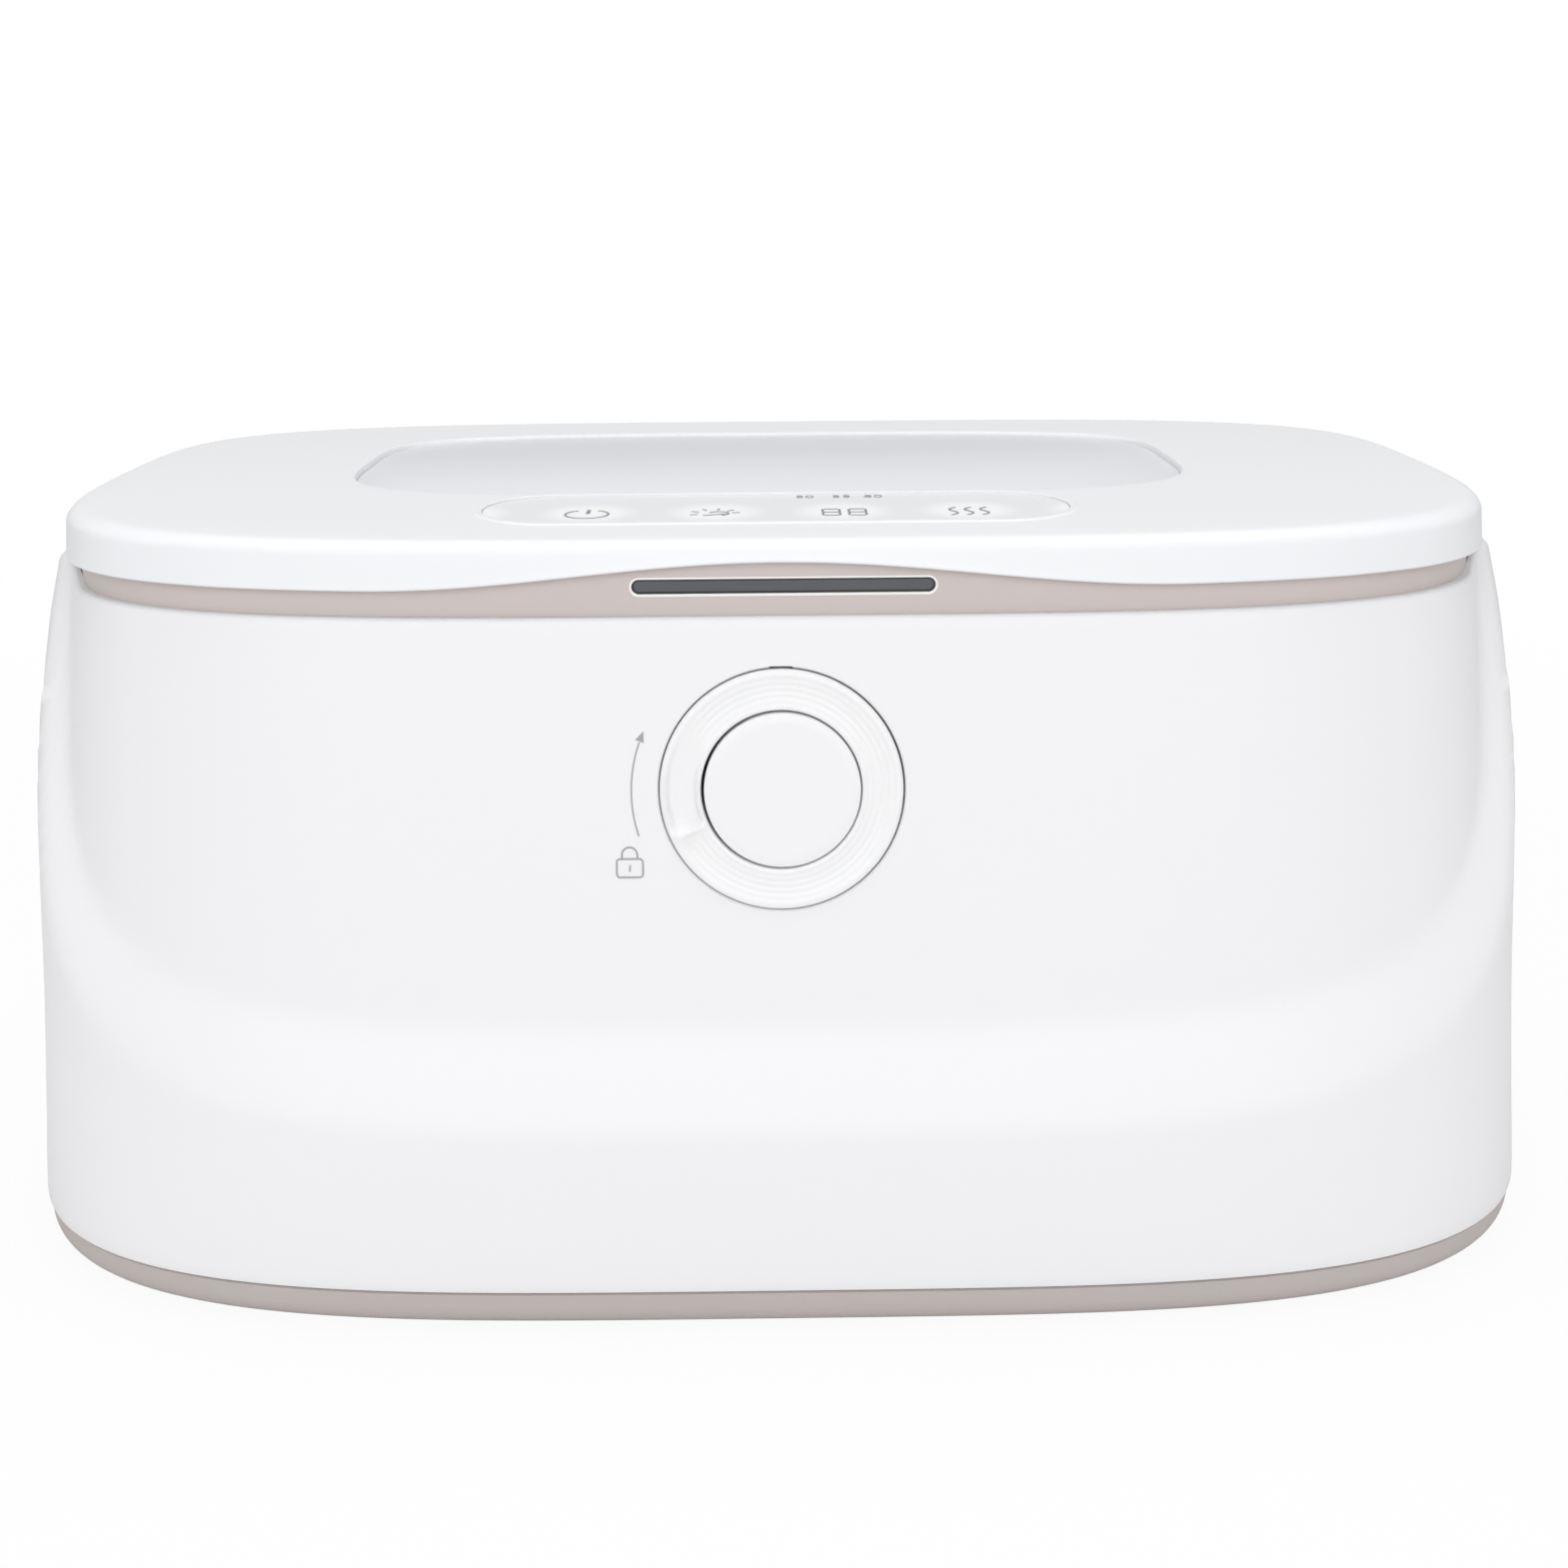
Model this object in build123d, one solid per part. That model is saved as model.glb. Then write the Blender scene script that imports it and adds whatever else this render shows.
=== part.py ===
from build123d import *
from math import cos, exp, hypot, pi, radians, sin, tan
import os

# Baby wipe warmer, millimetres. +Z up, the front looks along -Y.
# The origin is the centre of the footprint, on the surface the feet stand on.

# ---- overall form -------------------------------------------------------
foot_proud = 1.2            # rubber feet stand this far below the base pan
pan_height = 6.15           # visible height of the base pan
rim_height = 105.2          # top edge of the housing above the base pan's underside
lid_gap = 3.9               # lower edge of the lid above the housing's rim
lid_rise = 7.8              # lower edge of the lid to the middle of its top
wall = 2.4                  # housing wall
panel_half_x = 111.46       # front panel outline at the rim
panel_half_y = 68.9
panel_power = 3.84          # how square the outline's corners are
panel_lean = 6.5            # degrees that the panel leans out towards the base
seam_half_x = 124.9         # half length and half depth of the housing at the seam
seam_half_y = 82.5
flare = (2.34, 3.6, 3.1)    # the cradle stands out from the panel at the rim: ends, front, rear

base_z = foot_proud
seam_z = base_z + pan_height
rim_z = base_z + rim_height
lid_z = rim_z + lid_gap
lid_top_z = lid_z + lid_rise

# Cradle: the outer body that wraps the panel from the sides. Depth below the rim, then how
# much of the way from its size at the rim to its size at the seam it has reached there (ends,
# front, rear), and the power of the outline.
cradle = [
    (rim_height, 1.0, 1.0, 1.0, 3.85),
    (rim_height - pan_height, 1.0, 1.0, 1.0, 3.85),
    (83.2, 0.90, 0.90, 0.89, 3.75),
    (65.2, 0.78, 0.81, 0.76, 3.65),
    (45.2, 0.66, 0.95, 0.63, 3.50),
    (31.2, 0.58, 0.95, 0.51, 3.40),
    (20.2, 0.46, 0.80, 0.40, 3.40),
    (8.2, 0.225, 0.45, 0.23, 3.50),
    (0.0, 0.0, 0.0, 0.0, 3.60),
]
crease_depth = 59.1         # rim to the lowest point of the crease, front centre
ridge_depth = 74.2          # rim to the lowest point of the ridge
crease_turn = 72.0          # degrees round from the front where the crease climbs
ridge_turn = 76.0
smile_power = 2.35

# ---- lid ------------------------------------------------------------------
lid_half_x = panel_half_x + 0.89
lid_half_y = panel_half_y + 1.0
lid_power = 3.79
lid_skin = 1.6              # thickness of the lid's rim
lid_lean = 1.2              # the lid's rim draws in by this much over its height
lid_round = 2.6             # rounding of its top edge
lid_crown = 0.9             # sag of the top from its middle to its front edge
lid_roof = 2.5              # thickness of its top at the middle
arch_half = 58.6            # half length of the arch in the front lower edge
arch_rise = 3.85

window_end_x = (68.2, 70.8)     # straight ends: half length at front and rear
window_end_y = (-13.0, 28.4)
window_mid_y = (-30.5, 43.5)    # front and rear edge at the middle
window_corner = 3.0
window_sunk = 0.8
window_flange = 2.6

strip_half_x = 43.4
strip_y = (-61.3, -37.3)
strip_sunk = 0.2
icon_x = (-28.3, -8.7, 9.8, 28.3)   # power, lamp, digits, heat
icon_y = -49.2

# ---- collar and tub --------------------------------------------------------
collar_inset = 1.2          # the taupe collar stands back from the housing's rim
collar_wall = 2.0
collar_half = (panel_half_x - collar_inset, panel_half_y - collar_inset)
collar_inner_y = collar_wall - collar_half[1]
collar_top_z = lid_top_z - lid_roof - 0.6
deck = 1.6                  # deck of the collar
deck_z = rim_z + deck
spigot = 3.4                # how far the collar reaches down inside the housing
slot_half_x = 21.4          # light slot in the collar
slot_z = (lid_z - 0.9, lid_z + 1.4)
slot_middle_x = 0.8

tub_half_x = panel_half_x - 15.46       # opening in the deck
tub_y = (18.3 - panel_half_y, panel_half_y - 9.9)
tub_corner = 30.0
tub_wall = 1.6
tub_flange = 3.1
tub_draft = 2.0             # degrees
tub_floor_z = 30.0
fit = 0.4                   # clearance between parts that drop into each other
running = 0.3               # clearance between parts that move

# ---- lock and release button -------------------------------------------------
# Depths are measured in from the panel's face, radii from the lock's axis.
lock_z = rim_z - 24.5
ring_hole = 17.6
ring_gap = 0.25
ring_proud = 0.5
ring_step = 3.0             # depth of the step that holds the button in
ring_flange = (2.7, 3.6)
ring_flange_radius = 18.8
button_radius = 11.2
button_gap = 0.5
button_flange = (3.2, 4.2)
button_flange_radius = 12.9
lock_turn = 45.0            # degrees from locked to open
cup_radius = 20.8           # lock housing behind the panel
cup_wall = 1.4
cup_floor = (9.0, 10.6)
stem_radius = 2.0
stem_gap = 0.1
leaf_depth = (11.2, 12.4)
leaf_half_width = 3.0
leaf_root = -21.0
leaf_tip = 24.0
nose_depth = 8.75
tail_radius = (13.6, 16.0)  # arc of the ring that reaches behind the leaf
tail_half_angle = 10.0
toe_depth = (13.0, 14.6)
striker_y = (collar_inner_y + 3.3, collar_inner_y + 4.7)
ledge_y = collar_inner_y + 7.1
ledge_z = (lock_z + 18.9, lock_z + 20.5)
striker_half_x = 4.5

# ---- hinge ----------------------------------------------------------------------
hinge_y = panel_half_y + flare[2] + 1.0
hinge_z = rim_z + 0.1
barrel_radius = 4.2
pin_radius = 1.5
pin_gap = 0.06
lug_half = 25.0             # half length of the lid's hinge barrel
ear_length = 10.0
notch_z = rim_z - 4.9       # the housing is cut away above this for the hinge

# ---- fastenings and inside parts -----------------------------------------------
screw_radius = 1.25
screw_head = 2.5
screw_hole = screw_radius + 0.05
boss_radius = 3.6
pan_floor = 2.4
pan_round = 2.8
base_screw_at = (seam_half_x - 32.9, seam_half_y - 26.5)
foot_at = (seam_half_x - 24.9, seam_half_y - 44.5)
foot_radius = 7.0
foot_pocket = 0.8
vent_y = 44.0               # middle of the rows of vents in the pan
heater_y = 4.2
plate_half = (tub_half_x - 24.0, 40.0)
plate_thick = 1.0
film_thick = 0.5
pad_thick = 4.0
retainer_thick = 1.6
heater_screw_at = (tub_half_x - 12.0, 32.0)
board_size = (110.0, 56.0, 1.6)
board_at = (10.0, 8.0)
board_z = 14.0
jack_at = (62.0, 20.0)      # along X, height
jack_radius = 6.6
jack_y = seam_half_y - 8.5
lid_screw_at = (lid_half_x - 9.35, 26.0)
liner_z = (lid_z + 1.7, lid_z + 3.3)
tray_z = deck_z - 3.6
liner_half = (lid_half_x - 6.35, lid_half_y - 6.4)

fine = 720                  # steps used to measure a closed outline
outline_count = 32          # points that shape an outline in view
plain_count = 40            # points that shape a hidden one
facets = (2, 5, 2, 6, 6, 2)     # stretches of half a section of the housing, see section_turns
screw_sides = 10            # screws, their holes and posts
foot_sides = 24
cup_sides = 24
corner_sides = 6            # facets round a hidden corner of the tub


# ---- outlines ----------------------------------------------------------------------
def oval(half_x, half_y, power, turn):
    """Point of a superellipse, turn radians round from the middle of the front."""
    s, c = sin(turn), cos(turn)
    grow = 2.0 / power
    x = half_x * abs(s) ** grow * (1 if s >= 0 else -1)
    y = -half_y * abs(c) ** grow * (1 if c >= 0 else -1)
    return x, y


def spaced(curve, count, weight=lambda turn: 1.0):
    """count points of a closed curve, evenly spaced along it, closer where weight is more."""
    points = [curve(2 * pi * i / fine) for i in range(fine + 1)]
    run = [0.0]
    for i in range(fine):
        step = hypot(points[i + 1][0] - points[i][0], points[i + 1][1] - points[i][1])
        run.append(run[-1] + step * weight(2 * pi * (i + 0.5) / fine))
    chosen, i = [], 0
    for k in range(count):
        target = run[-1] * k / count
        while run[i + 1] < target:
            i += 1
        share = (target - run[i]) / (run[i + 1] - run[i])
        a, b = points[i], points[i + 1]
        chosen.append((a[0] + share * (b[0] - a[0]), a[1] + share * (b[1] - a[1])))
    return chosen


def closed_face(points, z, plain=False):
    """Face inside a closed outline of arcs, each through three of the points in turn.

    A plain face has straight stretches between them, for what lies hidden.
    """
    if plain:
        return Pos(0, 0, z) * make_face(Polyline(*points, close=True))
    at = [(x, y) for x, y in points] + [points[0]]
    arcs = [ThreePointArc(*at[i : i + 3]) for i in range(0, len(points), 2)]
    return Pos(0, 0, z) * make_face(arcs)


def oval_points(half_x, half_y, power, count):
    def closer(turn):
        degrees = abs((turn * 180 / pi + 180) % 360 - 180)
        return 1.0 + 1.5 * exp(-(((90 - abs(90 - degrees) - 45) / 20) ** 2))

    return spaced(lambda turn: oval(half_x, half_y, power, turn), count, closer)


def oval_face(half_x, half_y, power, z, plain=False):
    count = plain_count if plain else outline_count
    return closed_face(oval_points(half_x, half_y, power, count), z, plain)


def oval_block(half_x, half_y, power, low, high, plain=False):
    return extrude(oval_face(half_x, half_y, power, low, plain), high - low, dir=(0, 0, 1))


def oval_ring(half_x, half_y, power, thick, low, high, plain=False):
    outer = oval_block(half_x, half_y, power, low, high, plain)
    return outer - oval_block(half_x - thick, half_y - thick, power, low - 1, high + 1, plain=True)


def tub_outline(grow, plain):
    """Rounded rectangle of the tub's opening; a plain one has straight facets round its corners."""
    half_x, half_y = tub_half_x + grow, (tub_y[1] - tub_y[0]) / 2 + grow
    corner = tub_corner + grow
    if not plain:
        return RectangleRounded(2 * half_x, 2 * half_y, corner)
    points = []
    for quarter, (sx, sy) in enumerate(((1, 1), (-1, 1), (-1, -1), (1, -1))):
        for k in range(corner_sides + 1):
            angle = radians(90 * (quarter + k / corner_sides))
            x, y = sx * (half_x - corner), sy * (half_y - corner)
            points.append((x + corner * cos(angle), y + corner * sin(angle)))
    return make_face(Polyline(*points, close=True))


def tub_block(grow, low, high, draft=0.0, plain=False):
    """Block with the tub opening's outline, larger all round by grow at its top."""
    face = Pos(0, (tub_y[0] + tub_y[1]) / 2, high) * tub_outline(grow, plain)
    return extrude(face, high - low, dir=(0, 0, -1), taper=draft)


def rod(radius, low, high, x=0.0, y=0.0):
    return Pos(x, y, low) * Cylinder(radius, high - low, align=(Align.CENTER, Align.CENTER, Align.MIN))


def peg(radius, low, high, x=0.0, y=0.0, sides=screw_sides):
    """Many-sided rod, for screws, their holes and their posts."""
    return extrude(Pos(x, y, low) * RegularPolygon(radius, sides), high - low, dir=(0, 0, 1))


def block(x, y, z):
    """Box from its three spans."""
    size = [span[1] - span[0] for span in (x, y, z)]
    middle = [(span[1] + span[0]) / 2 for span in (x, y, z)]
    return Pos(*middle) * Box(*size)


def four(at):
    return [(sx * at[0], sy * at[1]) for sx in (-1, 1) for sy in (-1, 1)]


def along_x(radius, low, high, y=hinge_y, z=hinge_z):
    """Rod along X, by default on the hinge axis."""
    turned = Rot(0, 90, 0) * Cylinder(radius, high - low, align=(Align.CENTER, Align.CENTER, Align.MIN))
    return Pos(low, y, z) * turned


# ---- housing -------------------------------------------------------------------------
def between(down, column):
    """Value of the cradle's table at a depth below the rim, by a smooth cubic through its rows."""
    rows = cradle[::-1]
    k = max(i for i in range(len(rows) - 1) if i == 0 or rows[i][0] <= down)
    span = rows[k + 1][0] - rows[k][0]
    share = (down - rows[k][0]) / span

    def slope(i):
        low, high = max(i - 1, 0), min(i + 1, len(rows) - 1)
        return (rows[high][column] - rows[low][column]) / (rows[high][0] - rows[low][0])

    a, b = rows[k][column], rows[k + 1][column]
    h00 = (1 + 2 * share) * (1 - share) ** 2
    h10 = share * (1 - share) ** 2
    h01 = share**2 * (3 - 2 * share)
    h11 = share**2 * (share - 1)
    return h00 * a + h10 * span * slope(k) + h01 * b + h11 * span * slope(k + 1)


def cradle_size(height):
    """Half length, front and rear half depth and power of the cradle at a height."""
    rim = (panel_half_x + flare[0], panel_half_y + flare[1], panel_half_y + flare[2])
    seam = (seam_half_x, seam_half_y, seam_half_y)
    down = rim_height - height
    sizes = [r + (s - r) * between(down, k + 1) for k, (r, s) in enumerate(zip(rim, seam))]
    return *sizes, between(down, 4)


def panel_size(height):
    spread = (rim_height - height) * tan(radians(panel_lean))
    return panel_half_x + spread, panel_half_y + spread


def from_front(turn):
    return abs((turn * 180 / pi + 180) % 360 - 180)


def cradle_share(turn, height):
    """0 on the recessed panel, 1 on the cradle, with a smooth slope between crease and ridge."""
    down = max(rim_height - height, 0.0)

    def reach(turn_limit, depth):
        total = (from_front(turn) / turn_limit) ** smile_power + (down / depth) ** smile_power
        return total ** (1 / smile_power)

    inside, outside = reach(crease_turn, crease_depth), reach(ridge_turn, ridge_depth)
    if inside <= 1:
        return 0.0
    if outside >= 1:
        return 1.0
    share = (inside - 1) / (inside - 1 + 1 - outside)
    return share * share * (3 - 2 * share)


def housing_point(turn, height):
    half_x, half_front, half_rear, power = cradle_size(height)
    outer = oval(half_x, half_front if cos(turn) > 0 else half_rear, power, turn)
    inner = oval(*panel_size(height), panel_power, turn)
    share = cradle_share(turn, height)
    return tuple(i + (o - i) * share for i, o in zip(inner, outer))


def reached(turn_limit, depth, down, least):
    """Degrees round from the front where the crease or the ridge stands at a depth."""
    left = max(1 - (down / depth) ** smile_power, 0.0)
    return max(turn_limit * left ** (1 / smile_power), least)


def section_turns(height):
    """Turns of half a section's points, from the middle of the front to the middle of the rear.

    The stretches run along the front, round its corner to the crease, to the ridge, along the
    end, round the rear corner and along the rear, so that their joints draw the crease and ridge.
    """
    down = max(rim_height - height, 0.0)
    crease = reached(crease_turn, crease_depth, down, 30.0)
    ridge = reached(ridge_turn, ridge_depth, down, 36.0)
    stops = (0.0, crease * 0.42, crease, ridge, 90.0, 145.0, 180.0)
    turns = []
    for start, stop, count in zip(stops, stops[1:], facets):
        turns += [radians(start + (stop - start) * i / count) for i in range(count)]
    return turns + [pi]


def section_points(height, inset):
    """Points of the housing's outline at a height, drawn in by inset along its normals."""

    def drawn_in(turn):
        step = 0.01
        x, y = housing_point(turn, height)
        ax, ay = housing_point(turn - step, height)
        bx, by = housing_point(turn + step, height)
        length = hypot(bx - ax, by - ay)
        return x - inset * (by - ay) / length, y + inset * (bx - ax) / length

    half = [drawn_in(turn) for turn in section_turns(height)]
    return half + [(-x, y) for x, y in half[-2:0:-1]]


def housing_form(inset, heights, low=0.0):
    """Solid of the housing's form through its sections; low is how far past the seam it runs."""
    faces = [closed_face(section_points(h, inset), base_z + h, plain=True) for h in heights]
    form = loft(faces, ruled=True)
    if low:
        form += extrude(faces[0], low, dir=(0, 0, -1))
    return form


lock_y = -(panel_half_y + (rim_z - lock_z) * tan(radians(panel_lean)))
lean_cos, lean_sin = cos(radians(panel_lean)), sin(radians(panel_lean))
lock_plane = Plane(origin=(0, lock_y, lock_z), x_dir=(1, 0, 0), z_dir=(0, -lean_cos, lean_sin))


def disc(radius, near, far, x=0.0, y=0.0, sides=0):
    """Disc on the lock's axis between two depths behind the panel's face, with flats if it has sides."""
    if sides:
        return extrude(Pos(x, y, -far) * RegularPolygon(radius, sides), far - near, dir=(0, 0, 1))
    return Pos(x, y, -far) * Cylinder(radius, far - near, align=(Align.CENTER, Align.CENTER, Align.MIN))


def annulus(outer, inner, near, far, sides=0):
    return disc(outer, near, far, sides=sides) - disc(inner, near - 1, far + 1, sides=sides)


def plate(x, y, near, far):
    return block(x, y, (-far, -near))


def wedge(radius, low, high, near, far):
    """Sector of a disc between two angles, anticlockwise from 3 o'clock."""
    points = [(0, 0)]
    steps = 4
    for i in range(steps + 1):
        angle = radians(low + (high - low) * i / steps)
        points.append((1.2 * radius * cos(angle), 1.2 * radius * sin(angle)))
    return Pos(0, 0, -far) * extrude(make_face(Polyline(*points, close=True)), far - near)


def housing_inside(crease_low):
    """Hollow of the housing: a wall inside the panel in front, the seam below, the cradle behind."""
    faces = []
    for h in (pan_height - 1, pan_height + 4):
        faces.append(oval_face(seam_half_x - wall, seam_half_y - wall, panel_power, base_z + h, plain=True))
    for h in (crease_low, rim_height - wall):
        (end, front), (far, near, rear, power) = panel_size(h), cradle_size(h)
        front = min(front, near)
        face = oval_face((end + far) / 2 - wall, (front + rear) / 2 - wall, power, base_z + h, plain=True)
        faces.append(Pos(0, (rear - front) / 2, 0) * face)
    return loft(faces, ruled=True)


def outer_shell():
    ridge_low, crease_low = rim_height - ridge_depth, rim_height - crease_depth
    slope = [ridge_low + (crease_low - ridge_low) * share for share in (0.0, 0.35, 0.7, 1.0)]
    panel = [rim_height - crease_depth * share for share in (0.88, 0.76, 0.59, 0.34, 0.14, 0.0)]
    shell = housing_form(0, [pan_height] + slope + panel)
    shell -= housing_inside(crease_low)
    opening = (panel_half_x - wall, panel_half_y - wall, panel_power)
    shell -= oval_block(*opening, rim_z - wall - 1, rim_z + 1, plain=True)
    shell -= lock_plane * disc(ring_hole, -3, 6)
    for side in (-1, 1):
        post = disc(3.0, 2.0, 6.0, x=side * 25.0, sides=screw_sides)
        shell += lock_plane * post
    # the notch for the hinge, and an ear at each end of it
    half = lug_half + ear_length + 1
    shell -= block((-half, half), (panel_half_y - wall - 1.5, hinge_y + 17), (notch_z, rim_z + 1))
    for low in (-lug_half - running - ear_length, lug_half + running):
        span = (low, low + ear_length)
        foot = block(span, (hinge_y - 3.2, hinge_y + 3.0), (hinge_z - 11.5, hinge_z))
        ear = along_x(barrel_radius, *span) + foot
        shell += ear - along_x(pin_radius + 0.02, span[0] - 1, span[1] + 1)
    # screw posts in the corners, each tied to the wall by a rib
    posts, post_top = None, 26.0
    x, y = base_screw_at
    for sx, sy in four((1, 1)):
        rib = block((-1, 1), (0, 24), (12, post_top))
        rib = Pos(sx * x, sy * y, 0) * Rot(0, 0, -48 * sx if sy > 0 else 180 + 48 * sx) * rib
        post = peg(boss_radius, base_z + pan_floor, post_top, sx * x, sy * y) + rib
        posts = post if posts is None else posts + post
    shell += posts & housing_form(wall / 2, (pan_height, ridge_low), low=8)
    for sx, sy in four((1, 1)):
        shell -= peg(screw_hole, 0, 20, sx * x, sy * y)
    shell -= Pos(jack_at[0], jack_y + 16, jack_at[1]) * Rot(90, 0, 0) * Cylinder(jack_radius + 0.4, 60)
    return shell


def base_pan():
    half_x, half_y, power = seam_half_x - 0.5, seam_half_y - 0.5, cradle[0][4]
    turn_up = []
    for angle in (90, 40, 0):
        inset, up = pan_round * (1 - cos(radians(angle))), pan_round * (1 - sin(radians(angle)))
        turn_up.append(oval_face(half_x - inset, half_y - inset, power, base_z + up))
    solid = loft(turn_up, ruled=True) + oval_block(half_x, half_y, power, base_z + pan_round, seam_z)
    lip = (half_x - 3.4, half_y - 3.4, power, 1.6)
    solid -= oval_block(*lip[:3], base_z + pan_floor, seam_z + 1, plain=True)
    solid += oval_ring(*lip, base_z + pan_floor, seam_z + 3.2, plain=True)
    for x, y in four(base_screw_at):
        solid -= peg(screw_head + 0.3, 0, base_z + 1.2, x, y)
        solid -= peg(screw_radius + 0.2, 0, seam_z, x, y)
    for x, y in four(foot_at):
        solid -= peg(foot_radius, 0, base_z + foot_pocket, x, y, foot_sides)
    for sx, sy in four((1, 1)):
        x, y = board_post(sx, sy)
        solid += peg(3.0, base_z + pan_floor, board_z, x, y)
    x = jack_at[0]
    stand = (base_z + pan_floor - 0.5, jack_at[1] - 7.5)
    solid += block((x - 8, x + 8), (jack_y - 8, jack_y + 2), stand)
    for k in range(-3, 4):
        for y in (-vent_y, vent_y):
            solid -= block((8 * k - 1.2, 8 * k + 1.2), (y - 9, y + 9), (0, base_z + pan_floor + 1))
    return solid


def rubber_feet():
    top = base_z + foot_pocket
    return [peg(foot_radius - 0.15, 0, top, x, y, foot_sides) for x, y in four(foot_at)]


def screw(x, y, under_head, length, up=True, radius=screw_radius, head=screw_head):
    """Pan head screw with its head's seat at under_head."""
    sign = 1 if up else -1
    spans = [(under_head, under_head + sign * length), (under_head - sign * 1.1, under_head)]
    return peg(radius, *sorted(spans[0]), x, y) + peg(head, *sorted(spans[1]), x, y)


def base_screws():
    return [screw(x, y, base_z + 1.2, 14) for x, y in four(base_screw_at)]


# ---- collar, light and tub -----------------------------------------------------------
def stadium(half_x, low_z, high_z, low_y, high_y, x=slot_middle_x):
    """Upright block with round ends, standing in the XZ plane."""
    middle = (low_z + high_z) / 2
    face = SlotOverall(2 * half_x, high_z - low_z)
    placed = Plane(origin=(x, high_y, middle), x_dir=(1, 0, 0), z_dir=(0, -1, 0)) * face
    return extrude(placed, high_y - low_y, dir=(0, -1, 0))


def collar():
    x, y = collar_half
    upright = oval_ring(x, y, panel_power, collar_wall, rim_z, collar_top_z)
    upright -= block((-x - 9, x + 9), (y - 17.7, y + 9), (deck_z + 0.9, collar_top_z + 1))
    floor = oval_block(x - 1, y - 1, panel_power, rim_z, deck_z, plain=True)
    inside = (panel_half_x - wall - running, panel_half_y - wall - running, panel_power, 1.6)
    inside = oval_ring(*inside, rim_z - spigot, rim_z + 0.8, plain=True)
    solid = upright + floor + inside
    solid -= tub_block(0, rim_z - 5, deck_z + 5, plain=True)
    solid -= block((-6, 6), (striker_y[0] - 0.8, ledge_y + 0.8), (rim_z - 5, deck_z + 1))
    solid -= stadium(slot_half_x, *slot_z, -y - 12, collar_inner_y + 5)
    # two posts hold the light board
    for side in (-1, 1):
        span = (collar_inner_y + 2.6, collar_inner_y + 4.6)
        solid += block((side * 17 - 2, side * 17 + 2), span, (rim_z + 0.8, deck_z + 3.4))
    return solid


def light_window():
    back = collar_inner_y + 0.8
    lens = stadium(slot_half_x - 0.1, slot_z[0] + 0.1, slot_z[1] - 0.1, 0.35 - collar_half[1], back)
    rim = stadium(slot_half_x + 0.8, slot_z[0] - 0.6, slot_z[1] + 0.4, collar_inner_y + 0.05, back)
    return lens + rim


def light_board():
    x, face = slot_middle_x, collar_inner_y + 1.4
    board = block((x - 20, x + 20), (face, face + 1.15), (deck_z + 0.1, deck_z + 3.6))
    for k in range(-2, 3):
        board += block((x + 8 * k - 1.4, x + 8 * k + 1.4), (face - 0.5, face), (deck_z + 1.6, deck_z + 3.2))
    return board


def wipe_tub():
    top = deck_z
    solid = tub_block(-fit, tub_floor_z - tub_wall, top + 0.6, tub_draft, plain=True)
    solid += tub_block(tub_flange, top, top + 1.2, plain=True)
    inner = tub_block(-fit - tub_wall, tub_floor_z, top + 2, tub_draft)
    solid -= inner
    for x, y in four(heater_screw_at):
        solid += peg(boss_radius, retainer_top, tub_floor_z - tub_wall + 0.4, x, y + heater_y)
    return solid


heater_top = tub_floor_z - tub_wall
film_top = heater_top - plate_thick
pad_top = film_top - film_thick
retainer_top = pad_top - pad_thick


def heater_block(half_x, half_y, low, high):
    return block((-half_x, half_x), (heater_y - half_y, heater_y + half_y), (low, high))


sensor_at = (30.0, 12.0)
fuse_at = (-30.0, -4.0)


def heater_plate():
    return heater_block(*plate_half, film_top, heater_top)


def heater_film():
    return heater_block(plate_half[0] - 3, plate_half[1] - 3, pad_top, film_top)


def insulation_pad():
    pad = heater_block(*plate_half, retainer_top, pad_top)
    for (x, y), half in ((sensor_at, 5), (fuse_at, 8)):
        pad -= block((x - half, x + half), (y - 4, y + 4), (retainer_top - 1, pad_top + 1))
    return pad


def temperature_sensor():
    x, y = sensor_at
    return block((x - 3.5, x + 3.5), (y - 2.5, y + 2.5), (pad_top - 2.4, pad_top))


def thermal_fuse():
    x, y = fuse_at
    return Pos(x, y, pad_top - 1.6) * Rot(0, 90, 0) * peg(1.6, -5.5, 5.5)


def heater_retainer():
    x, y = heater_screw_at
    solid = heater_block(x + 5, y + 5, retainer_top - retainer_thick, retainer_top)
    solid -= heater_block(x - 32, y - 12, retainer_top - 3, retainer_top + 1)
    return solid


# ---- electronics in the base -------------------------------------------------------------
def board_post(sx, sy):
    return board_at[0] + sx * (board_size[0] / 2 - 5), board_at[1] + sy * (board_size[1] / 2 - 5)


def main_board():
    x, y = board_at
    half_x, half_y = board_size[0] / 2, board_size[1] / 2
    solid = block((x - half_x, x + half_x), (y - half_y, y + half_y), (board_z, board_z + board_size[2]))
    return solid


def board_components():
    low = board_z + board_size[2]
    relay = block((-28, -12), (0, 12), (low, low + 4.6))
    chip = block((10, 22), (4, 16), (low, low + 1.6))
    plug = block((48, 58), (-2, 14), (low, low + 4.4))
    choke = block((-6, 4), (-8, 2), (low, low + 4.2))
    cans = [peg(3.2, low, low + 4.6, x, 22) for x in (28, 38)]
    return [relay, chip, plug, choke] + cans


def dc_jack():
    x, z = jack_at

    def rearward(radius, start, length):
        turned = Rot(-90, 0, 0) * Cylinder(radius, length, align=(Align.CENTER, Align.CENTER, Align.MIN))
        return Pos(x, jack_y + start, z) * turned

    body = block((x - 7.5, x + 7.5), (jack_y - 7.5, jack_y), (z - 7.5, z + 6.5))
    return body + rearward(jack_radius, -0.5, 5.7) - rearward(3.2, -6.0, 20) + rearward(1.0, -6.5, 10)


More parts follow.
